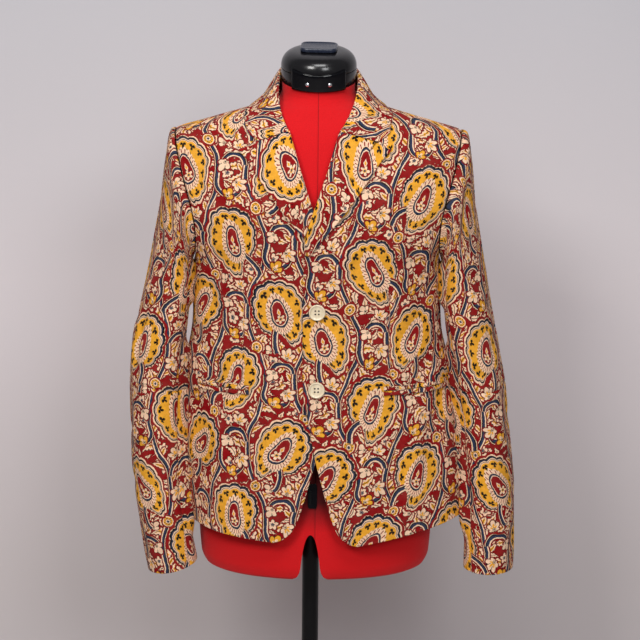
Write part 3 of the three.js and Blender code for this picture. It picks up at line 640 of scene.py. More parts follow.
for side in SIDES:
    make_front(side)

# %% [markdown]
# ## The backs
# Two backs meet at the centre back seam. They hang from the shoulder seams, which sit on the form.
# The picture doesn't show them, so they are plain, and are made as the fronts are.

# %% Make the backs
def make_back(side):
    s = spaced(68, 0, 1)[None, :]
    t = spaced(150, 0, 1)[:, None]
    outer_turn, outer_z = outer_edge(side, t, False)
    f = mix(1, NECK_SHARE, np.clip((t - BACK_NECK_SHARE) / (1 - BACK_NECK_SHARE), 0, 1))
    low = t <= BACK_NECK_SHARE
    centre_turn = np.where(low, 180, along(NECK_SEAM, "f", "turn", f))
    straight = mix(HEM[0], BACK_NECK, t / BACK_NECK_SHARE)
    centre_z = np.where(low, straight, along(NECK_SEAM, "f", "z", f))
    turn = np.clip(mix(outer_turn, centre_turn, s), 90 + HALF_SEAM, 180 - HALF_SEAM)
    z = mix(outer_z, centre_z, s)
    out = cloth_relief(side * turn, z) + edge_dip(s, t, (300, 600, 1, 1, 0, 1))
    normal = body_normal(side * turn, z)
    outer = body_surface(side * turn, z) + normal * out[..., None]
    places = flat_place(side * turn, z) + np.array(PRINT_AT[f"back {side}"])
    name = f"back_{SIDES[side]}"
    sew(cloth_object(f"{name}_cloth", outer, normal, places), places, name, "draped", "form_cover")


for side in SIDES:
    make_back(side)

# %% [markdown]
# ## The lapels
# A lapel is the facing of the front, folded out over the roll line. The fold is soft: the cloth
# comes up from behind the front edge in a half circle, crowns a little, and its outer edge lies
# on the front again. It is built on the front's own folded surface, so the two never cross.

# %% Make the lapels
LAPEL_EDGE = table(
    "z x",
    [1233, -9],
    [1250, 4],
    [1278, 27],
    [1306, 50],
    [1333, 70],
    [1348, 80],
    [1364, 91],
    [1380, 106],
)
NOTCH, LAPEL_POINT, COLLAR_POINT, NOTCH_SHARE = (83, 1391), (106, 1380), (99, 1402), 0.6
LAPEL_FOLD, LAPEL_THICKNESS, COLLAR_THICKNESS = 3.9, 1.3, 1.4


def gorge_line(side, share, point):
    """x and z along the top of the lapel: from the roll line to the notch, then to its point."""
    start = (roll_x(side, GORGE) * side, GORGE)
    f = share / NOTCH_SHARE
    g = (share - NOTCH_SHARE) / (1 - NOTCH_SHARE)
    first = share < NOTCH_SHARE
    x = np.where(first, mix(start[0], NOTCH[0], f), mix(NOTCH[0], point[0], g))
    return x, np.where(first, mix(start[1], NOTCH[1], f), mix(NOTCH[1], point[1], g))


def lapel_grid(side, s, t):
    """x and z of the lapel's face, s from the roll line to its edge and t from the break up."""
    low, low_outer = (1240, 1237) if side > 0 else (1290, 1262)
    top_x, top_z = gorge_line(side, s, LAPEL_POINT)
    inner = mix(low, GORGE - SEAM, t)
    outer = mix(low_outer, LAPEL_POINT[1] - SEAM, t)
    straight = mix(GORGE - SEAM, LAPEL_POINT[1] - SEAM, s)
    z = mix(inner, outer, s) + (top_z - SEAM - straight) * t * t
    shift = v_shift(LAPEL_POINT[1]) * side
    outer_x = along(LAPEL_EDGE, "z", "x", outer) + v_shift(outer) * side
    straight_x = mix(roll_x(side, GORGE) * side, LAPEL_POINT[0] + shift, s)
    bend = (top_x + np.where(s > NOTCH_SHARE, shift * s, 0) - straight_x) * t * t
    return mix(roll_x(side, inner) * side, outer_x, s) + bend, z


def roll_crown(down):
    """How far a lapel or collar springs up: 2.6 exp(-down / 0.22) at its roll, 1.8 at its edge."""
    return 2.6 * np.exp(-down / 0.22) + 1.8 * ease(0.7, 1, down)


def make_lapel(side):
    s = np.linspace(0, 1, 34)[None, :]
    t = np.linspace(0, 1, 84)[:, None]
    x, z = lapel_grid(side, s, t)
    turn = turn_at(x, z)
    face = on_front(side, turn, z, CLOTH + LIE + roll_crown(s))
    face += body_normal(side * turn, z) * (0.8 * np.sin(t * 9 + s * 4) * s)[..., None]
    # The fold: a half circle about a line inside the roll line
    edge, normal = face[:, 0], body_normal(side * turn, z)[:, 0]
    inward = unit(face[:, 0] - face[:, 1])
    a = np.linspace(math.pi, 0, 12)[None, :-1, None]
    across = inward[:, None] * np.sin(a) + normal[:, None] * (np.cos(a) - 1)
    grid = np.concatenate([edge[:, None] + LAPEL_FOLD * across, face], 1)
    places = np.stack([side * run_length(grid, 1), run_length(grid)], -1)
    places += np.array(PRINT_AT[f"lapel {side}"])
    name = f"lapel_{SIDES[side]}"
    obj = cloth_object(f"{name}_cloth", grid, normals_of(grid) * side, places, LAPEL_THICKNESS)
    sew(obj, places, name, "folded", f"front_{SIDES[side]}_cloth")


for side in SIDES:
    make_lapel(side)

# %% [markdown]
# ## The collar
# The collar's fall comes up from its outer edge, rolls over at the top and ends on the stand. The
# stand is the band inside it that rises from the neck seam. Both hang on one roll line in space,
# because a collar leaves the body's surface and no section of the body could carry it.

# %% Make the collar
COLLAR_ROLL = table(
    "f x y z",
    [0, 40, -88, GORGE],
    [0.1, 46.5, -75, 1419],
    [0.22, 52.5, -60, 1436],
    [0.36, 56.5, -42, 1452],
    [0.5, 58.5, -16, 1468],
    [0.64, 57, 14, 1480],
    [0.78, 46, 41, 1487],
    [0.9, 26, 57, 1491],
    [1, 0, 63, 1492],
)
COLLAR_EDGE = table(
    "f turn z",
    [0, 27.5, COLLAR_POINT[1]],
    [0.2, 47, 1418.5],
    [0.42, 70, 1427],
    [0.6, 90, 1430.5],
    [0.74, 115, 1430],
    [0.86, 140, 1427],
    [0.94, 160, 1425],
    [1, 180, 1424],
)


def collar_roll(place):
    """The roll line of the collar; place runs from -1 at the wearer's right gorge to 1."""
    side = np.where(place < 0, -1, 1)
    f = 1 - abs(place)
    x, y, z = (along(COLLAR_ROLL, "f", name, f) for name in "xyz")
    return np.stack([side * x + v_shift(z), y, z], -1), side, f


def collar_fall(place, down):
    """Straight from the roll line to the outer edge, hollowed by 5 sin(pi down) round the neck,
    and blended near the gorge into a piece that lies on the front."""
    roll, side, f = collar_roll(place)
    turn = along(COLLAR_EDGE, "f", "turn", f)
    edge_z = along(COLLAR_EDGE, "f", "z", f)
    edge = body_surface(side * turn, edge_z) + body_normal(side * turn, edge_z) * (CLOTH + LIE)
    a = np.radians(turn)
    point = roll + (edge - roll) * down[..., None]
    hollow = -5 * np.sin(math.pi * down) * ease(0.15, 0.5, f)
    out = unit(np.stack(np.broadcast_arrays(np.sin(a) * side, -np.cos(a), 0.8), -1))
    point = point + out * (hollow + 2.2 * np.sin(math.pi * np.minimum(down * 1.6, 1)))[..., None]
    near = 1 - ease(0, 0.2, f)
    end = [gorge_line(one, down, COLLAR_POINT) for one in SIDES]
    end_x, end_z = (np.where(side > 0, end[0][k], end[1][k]) for k in (0, 1))
    x = mix(abs(point[..., 0]), end_x + SEAM, near)
    z = mix(point[..., 2], end_z + SEAM, near)
    left, right = (
        on_front(one, turn_at(x, z), z, CLOTH + LIE + roll_crown(down)) for one in SIDES
    )
    lying = np.where((side > 0)[..., None], left, right)
    return point + (lying - point) * near[..., None]


def make_collar():
    place, down = np.meshgrid(spaced(150, -1, 1, low=-1), np.linspace(0, 1, 30))
    face = collar_fall(place, down)
    inward = unit(face[0] - face[1])
    across = unit(np.gradient(face[0], axis=0))
    normal = unit(np.cross(inward, across))
    radius = mix(3.7, 1.9, ease(0, 0.3, 1 - abs(place[0])))[:, None]
    a = np.linspace(math.pi, 0, 9)[:-1, None, None]
    fold = face[0] + radius * (inward * np.sin(a) + normal * (np.cos(a) - 1))
    grid = np.concatenate([fold, face], 0)
    places = np.stack(np.broadcast_arrays(run_length(grid[20]), -run_length(grid)), -1)
    normals = normals_of(grid)
    if (normals[25] * (grid[25] - np.array([0, 0, 1440]))).sum() < 0:
        normals = -normals
    obj = cloth_object("collar_cloth", grid, normals, places, COLLAR_THICKNESS)
    sew(obj, places, "collar", "folded", "collar_stand_cloth", "back_left_cloth", "back_right_cloth")


def make_collar_stand():
    place, t = np.meshgrid(spaced(120, low=-0.7, high=0.7), np.linspace(0, 1, 12))
    roll, side, f = collar_roll(place)
    turn = along(NECK_SEAM, "f", "turn", f)
    seam_z = along(NECK_SEAM, "f", "z", f)
    neck = body_surface(side * turn, seam_z) + body_normal(side * turn, seam_z) * SEAM
    a = np.radians(turn)
    out = unit(np.stack(np.broadcast_arrays(np.sin(a) * side, -np.cos(a), 0.0), -1))
    top = roll - out * 2.4 + np.array([0, 0, -2.0])
    bottom = neck - out * CLOTH + np.array([0, 0, 0.6])
    grid = bottom + (top - bottom) * t[..., None]
    rise = np.linalg.norm(top - bottom, axis=-1) * t
    places = np.stack(np.broadcast_arrays(run_length(grid[6]) + 40.0, rise), -1)
    obj = cloth_object("collar_stand_cloth", grid, out, places, COLLAR_THICKNESS)
    sew(obj, places, "collar_stand", "draped", "form_cover")


make_collar_stand()
make_collar()

# %% [markdown]
# ## The sleeves
# Below the armpit a sleeve is a stack of level sections, each a little turned towards the body.
# Above it, the sleeve head leaves the armhole square to it and bends down in a Bezier curve, which
# gives the full round shoulder without a sewing simulation. Each sleeve is a top sleeve and an under
# sleeve, and both are pieced again at the elbow, where the print jumps.

# %% Sleeve tables
SLEEVE_COLUMNS = "z x y half depth tilt toe"
ELBOW, SLEEVE_TOP, SLEEVE_SQUARE, HEAD_SHARE = 1032, 1190, 2.15, 0.5
SLEEVES = {
    -1: table(
        SLEEVE_COLUMNS,
        [768, 208, -46, 35.5, 48, -8, 8],
        [809, 216, -41, 36, 50, -4, 8],
        [874, 226, -33, 36.5, 54, 0, 9],
        [926, 230.5, -25, 37.5, 57, 4, 10],
        [985, 232, -17, 38, 60, 6, 10],
        [ELBOW, 232, -12, 38.5, 63, 7, 10],
        [1096, 228, -8, 37.5, 66, 4, 11],
        [1144, 219.5, -4, 34.5, 69, 0, 11],
        [1190, 212.5, -2, 32, 72, 0, 11],
    ),
    1: table(
        SLEEVE_COLUMNS,
        [764, 254.5, -36, 36, 48, 0, 8],
        [809, 255, -32, 36, 50, 0, 8],
        [874, 254, -26, 36, 54, 0, 9],
        [926, 250, -21, 35.5, 57, 0, 10],
        [985, 244, -16, 35.5, 60, 0, 10],
        [ELBOW, 238, -12, 36, 63, 0, 10],
        [1096, 226.5, -8, 35.5, 66, 0, 11],
        [1144, 218, -4, 33.5, 69, 0, 11],
        [1190, 212, -2, 32, 72, 0, 11],
    ),
}
SLEEVE_HEAD = table(
    "around reach rise drop lean",
    [0, 18, 6, 150, 37],
    [45, 22, 5, 105, 22],
    [90, 20, 0, 55, 6],
    [135, 9, 0, 18, 0],
    [180, 4.5, 0, 8, 0],
    [225, 9, 0, 18, 0],
    [270, 20, 0, 55, 6],
    [315, 22, 5, 105, 22],
    [360, 18, 6, 150, 37],
)
SLEEVE_CREASES = {
    -1: table(
        CREASE,
        [-40, 1360, -20, 1290, 4, 9, -2.0],
        [46, 1330, 60, 1230, 4, 9, -2.4],
        [10, 1290, 40, 1200, -5, 10, -2.0],
        [70, 1240, 10, 1180, 6, 9, -2.6],
        [60, 1200, 0, 1150, 5, 8, 2.0],
        [78, 1160, 30, 1100, 5, 9, -2.8],
        [24, 1150, 26, 1040, 3, 5, -3.6],
        [12, 1150, 15, 1050, 2, 6, 2.0],
        [-30, 1130, 20, 1090, -5, 9, -2.2],
        [80, 1080, 30, 1046, 5, 8, -2.6],
        [76, 1016, 20, 990, -5, 9, -2.6],
        [60, 960, 0, 940, -5, 9, -2.2],
        [-40, 980, 14, 960, 5, 9, -2.0],
        [70, 900, 30, 860, 5, 9, -2.2],
        [-20, 890, 30, 872, -4, 9, -1.8],
        [76, 840, 46, 790, 4, 8, -2.0],
        [10, 840, 24, 780, 3, 9, -1.8],
        [-80, 1200, -50, 1120, 6, 10, -2.4],
        [-84, 1000, -40, 960, 6, 10, -2.4],
        [-76, 900, -52, 830, 5, 9, -2.0],
    ),
    1: table(
        CREASE,
        [-36, 1350, -16, 1280, 4, 9, -2.0],
        [44, 1340, 64, 1236, 4, 9, -2.4],
        [16, 1300, 42, 1214, -5, 10, -1.8],
        [74, 1220, 20, 1170, 6, 9, -2.6],
        [62, 1176, 10, 1128, 5, 8, 1.9],
        [80, 1136, 34, 1084, 5, 9, -2.6],
        [-20, 1120, 30, 1084, -5, 9, -2.2],
        [78, 1064, 36, 1044, 4, 8, -2.2],
        [74, 1018, 26, 996, -5, 8, -2.6],
        [-30, 1000, 26, 972, 5, 9, -1.8],
        [62, 950, 10, 924, -5, 9, -2.2],
        [72, 890, 40, 846, 5, 9, -2.0],
        [-10, 880, 34, 862, -4, 9, -1.7],
        [70, 830, 50, 784, 4, 8, -2.0],
        [6, 840, 20, 786, 3, 9, -1.8],
        [-82, 1190, -48, 1110, 6, 10, -2.4],
        [-80, 990, -42, 944, 6, 10, -2.2],
        [-76, 880, -50, 820, 5, 9, -2.0],
    ),
}
print("sleeve folds:", {side: len(rows["a0"]) for side, rows in SLEEVE_CREASES.items()})


def sleeve_section(side, around, z):
    """A superellipse with half axes half and depth, turned by toe and raised outside by tilt."""
    rows = SLEEVES[side]
    half, depth, tilt, toe, x, y = (
        along(rows, "z", name, z) for name in "half depth tilt toe x y".split()
    )
    cos, sin = np.cos(np.radians(around)), np.sin(np.radians(around))
    n = SLEEVE_SQUARE
    rounding = (abs(cos) ** n + abs(sin) ** n) ** (-1 / n)
    out, ahead = half * cos * rounding, depth * sin * rounding
    c, s = np.cos(np.radians(toe)), np.sin(np.radians(toe))
    across = side * (x + out * c - ahead * s)
    return np.stack(np.broadcast_arrays(across, y - ahead * c - out * s, z + tilt * cos), -1)


def sleeve_head(side, around, f):
    """Bezier curve from the armhole (f = 0) to the top section (f = 1)."""
    turned = around % 360
    turn, z = armhole_place(turned)
    start = body_surface(side * turn, z)
    start = start + np.array([side * 3 * SEAM, 0, 0])
    reach, rise, drop, lean = (
        along(SLEEVE_HEAD, "around", name, turned) for name in "reach rise drop lean".split()
    )
    extra = (5 if side > 0 else 0) * np.cos(np.radians(turned / 2)) ** 2
    zero = np.zeros_like(rise)
    end = sleeve_section(side, turned, np.full_like(turned, SLEEVE_TOP, dtype=float))
    first = start + np.stack([side * (reach + extra), zero, rise], -1)
    second = end + np.stack([-side * lean, zero, drop], -1)
    f = np.asarray(f)[..., None]
    g = 1 - f
    return g**3 * start + 3 * g * g * f * first + 3 * g * f * f * second + f**3 * end


def upper_sleeve(side, around, t):
    head = sleeve_head(side, around, np.clip((1 - t) / HEAD_SHARE, 0, 1))
    z = mix(ELBOW + SEAM / 2, SLEEVE_TOP, np.clip(t / (1 - HEAD_SHARE), 0, 1))
    return np.where((t >= 1 - HEAD_SHARE)[..., None], head, sleeve_section(side, around, z))


def lower_sleeve(side, around, t):
    return sleeve_section(side, around, mix(SLEEVES[side]["z"][0], ELBOW - SEAM / 2, t))


# %% Make the sleeves
SLEEVE_CUTS = {"top": (-112, 132, 92), "under": (132, 248, 44)}
HALF_SLEEVE_SEAM = math.degrees(SEAM / 2 / 36)
MM_PER_DEGREE = 0.8
BULGE = {"depth": 9, "around": 160, "half": 16}


def sleeve_relief(side, around, z, s, t, cut, upper):
    """Folds of the sleeve, small puckers of the gathered head, and the turned-in seams. On its
    inner front side the sleeve bulges where it hangs against the body."""
    signed = (around + 180) % 360 - 180
    relief = creases(SLEEVE_CREASES[side], signed * MM_PER_DEGREE, z)
    relief = relief + 0.8 * np.sin(signed / 13 + z / 29) * np.sin(z / 41 + 1)
    if cut == "under":
        relief = np.minimum(relief, 0.2)
    hangs = ease(800, 840, z) * (1 - ease(1080, 1100, z))
    hangs = hangs + ease(1142, 1160, z) * (1 - ease(1204, 1220, z))
    away = (signed - BULGE["around"]) / BULGE["half"]
    relief = relief + BULGE["depth"] * hangs * np.exp(-(away**2))
    if upper:
        near = np.exp(-(((1 - t) / 0.10) ** 2))
        pucker = 0.9 * np.sin(np.radians(signed * 17)) * np.cos(np.radians(signed * 5)) ** 2
        relief = relief * (1 - near) + pucker * near * ease(130, 95, abs(signed))
    width = 180 if cut == "top" else 90
    return relief + edge_dip(s, t, (width, 300, 1, 1, int(upper), 1))


def make_sleeve(side, cut, upper):
    low, high, count = SLEEVE_CUTS[cut]
    shape = upper_sleeve if upper else lower_sleeve
    rows = 130 if upper else 84
    s, t = np.meshgrid(spaced(count, 0, 1), spaced(rows, 0, 1))
    around = mix(low + HALF_SLEEVE_SEAM, high - HALF_SLEEVE_SEAM, s)
    point = shape(side, around, t)
    step = 0.004
    up = shape(side, around, np.minimum(1, t + step)) - shape(side, around, np.maximum(0, t - step))
    normal = unit(np.cross(up, shape(side, around + 1, t) - shape(side, around - 1, t)) * side)
    relief = sleeve_relief(side, around, point[..., 2], s, t, cut, upper)
    outer = point + normal * relief[..., None]
    width = run_length(point, 1)
    middle = count // 2
    width = width - width[:, middle : middle + 1]
    base = ELBOW + 2 if upper else SLEEVES[side]["z"][0]
    places = np.stack([side * width, base + run_length(point)], -1)
    places += np.array(PRINT_AT[f"sleeve {side}"])
    name = f"sleeve_{SIDES[side]}_{cut}"
    if upper:
        obj = cloth_object(f"{name}_upper_cloth", outer, normal, places)
        sew(obj, places, f"{name}_upper", "draped", f"front_{SIDES[side]}_cloth")
    else:
        obj = cloth_object(f"{name}_lower_cloth", outer, normal, places)
        sew(obj, places, f"{name}_lower", "hung", f"{name}_upper_cloth")


for side in SIDES:
    for cut in SLEEVE_CUTS:
        for upper in (True, False):
            make_sleeve(side, cut, upper)

# %% [markdown]
# ## The pockets
# Each hip pocket is a cut in the front with two narrow welts. A welt is a strip of cloth folded
# along the opening: it comes down over the front, turns round its lip and goes back under. One
# folded profile is carried along the pocket, which gives a real lip that catches the light.

# %% Make the welts
POCKET = {"z": 1041, "inner": 95, "outer": {1: 187, -1: 172}, "welt": 6.5}
WELT_THICKNESS = 0.5


def make_welt(side, edge, lip, name):
    """Carries a folded profile along the pocket: rows give the share of the way from the outer
    edge to the lip, and the distance out from the front."""
    f = np.linspace(0, 1, 9)[:-1]
    over = np.stack([f * 0.9, 1.75 + 0.7 * np.sin(math.pi * (0.2 + 0.6 * f))], -1)
    a = np.linspace(0, math.pi, 8)
    turn_under = np.stack([0.9 + 0.1 * np.sin(a), 1.45 + 0.7 * np.cos(a)], -1)
    under = np.stack([np.linspace(0.85, 0.1, 6), np.full(6, 0.75)], -1)
    profile = np.concatenate([over, turn_under, under])
    share, out = profile[:, :1], profile[:, 1:]
    s = np.linspace(0, 1, 60)[None, :]
    z = POCKET["z"] + mix(edge, lip, share) + 0.25 * np.sin(s * 21 + edge)
    turn = mix(turn_at(POCKET["inner"], z), turn_at(POCKET["outer"][side], z), s)
    grid = on_front(side, turn, z, out + 0 * s)
    down = run_length(grid[:, 30])[:, None]
    across = flat_place(side * turn, z)[..., 0] + 31.0
    places = np.stack(np.broadcast_arrays(across, down + (57 if edge < 0 else 83)), -1)
    normals = normals_of(grid)
    if (normals[3] * body_normal(side * turn, z)[3]).sum() < 0:
        normals = -normals
    label = f"pocket_{SIDES[side]}_{name}_welt"
    obj = cloth_object(f"{label}_cloth", grid, normals, places, WELT_THICKNESS)
    sew(obj, places, label, "folded", f"front_{SIDES[side]}_cloth")


for side in SIDES:
    make_welt(side, POCKET["welt"], 0.5, "upper")
    make_welt(side, -POCKET["welt"], -0.5, "lower")

for obj in printed_pieces:
    obj.data.transform(Matrix.Translation((FORM_OFFSET * MM, 0, 0)))
print("cloth faces", sum(len(obj.data.polygons) for obj in printed_pieces))

# %% [markdown]
# ## Turned shapes
# The cap, the buttons, the pole and the base are all round. A profile of radius and height gets
# small fillets at its corners and is carried round the axis. A screw modifier does the same, but
# here the fillets and the closed ends come out exact.

# %% Turned solids
def filleted(profile, radii, steps=5):
    """A profile whose inner corners are replaced by short curves: at each corner a quadratic
    Bezier from one radius before it to one radius after it."""
    profile = np.array(profile, float)
    out = [profile[:1]]
    for k in range(1, len(profile) - 1):
        before, corner, after = profile[k - 1], profile[k], profile[k + 1]
        a = corner + (before - corner) * min(0.49, radii[k - 1] / np.linalg.norm(before - corner))
        b = corner + (after - corner) * min(0.49, radii[k - 1] / np.linalg.norm(after - corner))
        f = np.linspace(0, 1, steps + 1)[:, None]
        out.append((1 - f) ** 2 * a + 2 * f * (1 - f) * corner + f * f * b)
    out.append(profile[-1:])
    return np.concatenate(out)


def round_angles(count):
    """Angles once round, in radians, without the last one, which would repeat the first."""
    return np.linspace(0, 2 * math.pi, count, endpoint=False)


def placed(points, place):
    """Points moved by a matrix."""
    return points @ np.array(place.to_3x3()).T + np.array(place.translation)


def ring_stack(name, grid, low, high, place):
    """A solid from a stack of closed rings. Fans of triangles close it at two points on the axis,
    at the heights low and high."""
    rows, columns = grid.shape[:2]
    points = np.concatenate([grid.reshape(-1, 3), [[0, 0, low], [0, 0, high]]])
    first, top, i = rows * columns, (rows - 1) * columns, np.arange(columns)
    j = (i + 1) % columns
    fans = [[np.full(columns, first), j, i], [np.full(columns, first + 1), top + i, top + j]]
    faces = grid_quads(rows, columns, closed=True).tolist()
    for fan in fans:
        faces += np.stack(fan, -1).tolist()
    return make_object(name, placed(points, place), faces, [True] * len(faces))


def turned_object(name, profile, segments=128, place=Matrix()):
    """Carries the rows (radius, height) of a profile round the z axis. The first and last rows lie
    on the axis and close the two ends."""
    profile = np.asarray(profile, float)
    a = round_angles(segments)
    radius, height = profile[1:-1, :1], profile[1:-1, 1:]
    grid = np.stack(np.broadcast_arrays(radius * np.cos(a), radius * np.sin(a), height), -1)
    return ring_stack(name, grid, profile[0, 1], profile[-1, 1], place)


def carry(obj, node, material):
    """Hangs a hard piece on the root, hides the node it replaces, if any, and gives it its material.
    """
    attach(obj, "root")
    if node:
        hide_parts(node)
    obj.data.materials.append(material)
    print(f"{obj.name}: {len(obj.data.polygons)} faces, {material.name}")


# %% [markdown]
# ## Shader maths as Python
# A material is a net of nodes, and a print like this one needs hundreds. One small class wraps a
# socket, so that a sum in Python adds a Math node. Numbers alone stay Python, and every other node
# comes from one method.

# %% The Ink class
class Ink:
    """A value that changes over a surface: one output socket, with arithmetic."""

    tree = None

    def __init__(self, socket):
        self.socket = socket

    @classmethod
    def node(cls, kind, settings=None, inputs=None, output=0):
        """Adds a node: its settings first, then the values or links of its sockets."""
        node = cls.tree.nodes.new("ShaderNode" + kind)
        for name, value in (settings or {}).items():
            if name == "stops":
                cls.fill_ramp(node.color_ramp, value)
            else:
                setattr(node, name, value)
        for key, value in (inputs or {}).items():
            if isinstance(value, Ink):
                cls.tree.links.new(value.socket, node.inputs[key])
            else:
                node.inputs[key].default_value = value
        return cls(node.outputs[output])

    @staticmethod
    def fill_ramp(ramp, stops):
        """Puts (place, colour) stops into a ramp, the first two in the stops it has."""
        for k, (place, colour) in enumerate(stops):
            stop = ramp.elements[k] if k < 2 else ramp.elements.new(place)
            stop.position = place
            stop.color = colour

    def second(self):
        """The next output of the same node, such as a ramp's alpha."""
        outputs = self.socket.node.outputs
        return Ink(outputs[list(outputs).index(self.socket) + 1])

    def math(self, operation, *others, clamp=False):
        settings = {"operation": operation, "use_clamp": clamp}
        return Ink.node("Math", settings, dict(enumerate([self, *others])))

    def __add__(self, other):
        return self.math("ADD", other)

    def __sub__(self, other):
        return self.math("SUBTRACT", other)

    def __mul__(self, other):
        return self.math("MULTIPLY", other)

    def __truediv__(self, other):
        return self.math("DIVIDE", other)

    def __mod__(self, other):
        return self.math("FLOORED_MODULO", other)

    def __rsub__(self, other):
        return Ink.node("Math", {"operation": "SUBTRACT"}, {0: other, 1: self})

    def __abs__(self):
        return self.math("ABSOLUTE")

    def __pow__(self, other):
        return self.math("POWER", other)

    __radd__ = __add__
    __rmul__ = __mul__

    def floor(self):
        return self.math("FLOOR")

    def sin(self):
        return self.math("SINE")

    def cos(self):
        return self.math("COSINE")

    def most(self, other):
        return self.math("MAXIMUM", other)

    def under(self, edge, soft=0.35):
        """1 below the edge and 0 above it, with an even slope of soft on each side."""
        return self.math("MULTIPLY_ADD", -0.5 / soft, 0.5 + 0.5 * edge / soft, clamp=True)

    def near(self, middle, half, soft=0.35):
        """1 within half of the middle."""
        return abs(self - middle).under(half, soft)


def rgb(red, green, blue):
    """A screen colour of 0 to 255 as the linear colour that a shader wants."""
    parts = [v / 255 for v in (red, green, blue)]
    return (*(v / 12.92 if v <= 0.04045 else ((v + 0.055) / 1.055) ** 2.4 for v in parts), 1.0)


def blend(base, top, mask):
    """top over base where mask is 1."""
    return Ink.node("Mix", {"data_type": "RGBA"}, {0: mask, 6: base, 7: top}, 2)


def vector(operation, *parts, **named):
    """Vector maths on the parts, in order; a socket can also be set by its name, such as Scale."""
    return Ink.node("VectorMath", {"operation": operation}, {**dict(enumerate(parts)), **named})


def shaded(colour, shade):
    """A colour made lighter or darker by a factor."""
    return vector("MULTIPLY", colour, join(shade, shade, shade))


def noise(place, scale, detail=1.0, rough=0.5, output=0):
    values = {"Vector": place, "Scale": scale, "Detail": detail, "Roughness": rough}
    return Ink.node("TexNoise", {}, values, output)


def split(place):
    """The x and y of a vector."""
    x = Ink.node("SeparateXYZ", {}, {0: place})
    return x, x.second()


def join(x, y, z=0.0):
    return Ink.node("CombineXYZ", {}, {0: x, 1: y, 2: z})


def new_material(name):
    """An empty material and its shader node; what follows draws into its tree."""
    material = bpy.data.materials.new(name)
    material.use_nodes = True
    Ink.tree = material.node_tree
    shader = next(n for n in Ink.tree.nodes if n.type == "BSDF_PRINCIPLED")
    return material, shader


def finish(shader, colour, rough, bump, distance, **fixed):
    """Links what changes over the surface, and sets the rest on the shader's own sockets. The bump
    is a height of 0 to about 1, times a distance in metres."""
    bumped = Ink.node("Bump", {}, {"Height": bump, "Distance": distance})
    for name, value in (("Base Color", colour), ("Roughness", rough), ("Normal", bumped)):
        if isinstance(value, Ink):
            Ink.tree.links.new(value.socket, shader.inputs[name])
        else:
            shader.inputs[name].default_value = value
    for name, value in fixed.items():
        shader.inputs[name.replace("_", " ").title().replace("Ior", "IOR")].default_value = value


# %% [markdown]
# ## The block print
# Block prints like this one have been made for centuries: lobed hearts on a madder ground, held in
# a net of indigo stems with cream blossoms and leaves. Each block prints one colour, a little out
# of line with the last. The print is drawn in layers, and each layer covers the one before it.
# The motifs are this file's own. Only their size, spacing and colours follow the picture.

# %% Inks and the repeat
MADDER = rgb(146, 12, 18)
CREAM = rgb(252, 212, 178)
OCHRE = rgb(242, 170, 48)
INDIGO = rgb(42, 54, 80)
BLACK = rgb(12, 10, 15)
CLEAR = (0.0, 0.0, 0.0, 0.0)
COLUMN, REPEAT = 69.0, 198.0


def cells(u, v, wide, tall, drop=0.5):
    """Cells whose odd columns drop by a share of their height: the place from the middle of a
    cell, and its column and row."""
    column = (u / wide + 0.5).floor()
    odd = column % 2.0
    lifted = v - odd * (tall * drop)
    row = (lifted / tall + 0.5).floor()
    return u - column * wide, lifted - row * tall, column, row


def chance(column, row, seed):
    """A number of 0 to 1 that is steady within a cell and differs from cell to cell."""
    place = join(column + seed, row + seed * 0.7)
    return Ink.node("TexWhiteNoise", {"noise_dimensions": "2D"}, {"Vector": place})


def turned_by(x, y, angle):
    """x and y in axes that are turned by an angle, a number or a changing value."""
    changing = isinstance(angle, Ink)
    c, s = (angle.cos(), angle.sin()) if changing else (math.cos(angle), math.sin(angle))
    return x * c + y * s, y * c - x * s


def round_about(x, y):
    """Distance from the middle, and the angle round it."""
    return (x * x + y * y) ** 0.5, y.math("ARCTAN2", x)


def stripes(distance, low, *stops):
    """Colours by distance: each (upper edge, colour) holds up to its edge, and it ends clear."""
    high = stops[-1][0] + 1
    edges, colours = zip(*stops)
    places = [(0.0, colours[0])]
    for edge, colour in zip(edges, [*colours[1:], CLEAR]):
        places.append(((edge - low) / (high - low), colour))
    share = distance.math("MULTIPLY_ADD", 1 / (high - low), -low / (high - low), clamp=True)
    ink = Ink.node("ValToRGB", {"stops": places}, {0: share})
    ink.socket.node.color_ramp.interpolation = "CONSTANT"
    return ink


def lay(base, ink, mask=None):
    """Prints a striped ink over the cloth, where it isn't clear and the mask allows."""
    cover = ink.second()
    return blend(base, ink, cover if mask is None else cover * mask)


# %% [markdown]
# Small leaves and flowers fill the ground. They sit in small half-drop cells, and each is turned by
# chance, as a printer turns a small block in the hand.

# %% Fillers
def leaves(base, u, v, size, seed, colours):
    """Ragged leaves: |y| < 0.4 size (1 - (x / size)^2) - |sin(9 x / size)|, on a bent midrib."""
    x, y, column, row = cells(u, v, size * 2.4, size * 1.85)
    x, y = turned_by(x, y, chance(column, row, seed) * 6.28)
    bent = y + x * x * (0.6 / size) - size * 0.15
    teeth = abs((x * (9 / size) + bent.math("SIGN")).sin()) * (size * 0.12)
    away = abs(bent) - (1 - x * x * (1 / size**2)) * (0.4 * size) + teeth
    inner, outer, edge = colours
    stops = (size * -0.2, inner), (-0.1, outer), (0.8, edge), (2.4, MADDER)
    base = lay(base, stripes(away, -6, *stops))
    vein = abs(bent).under(0.5, 0.3) * abs(x).under(size * 0.62, 0.4)
    return blend(base, BLACK, vein)


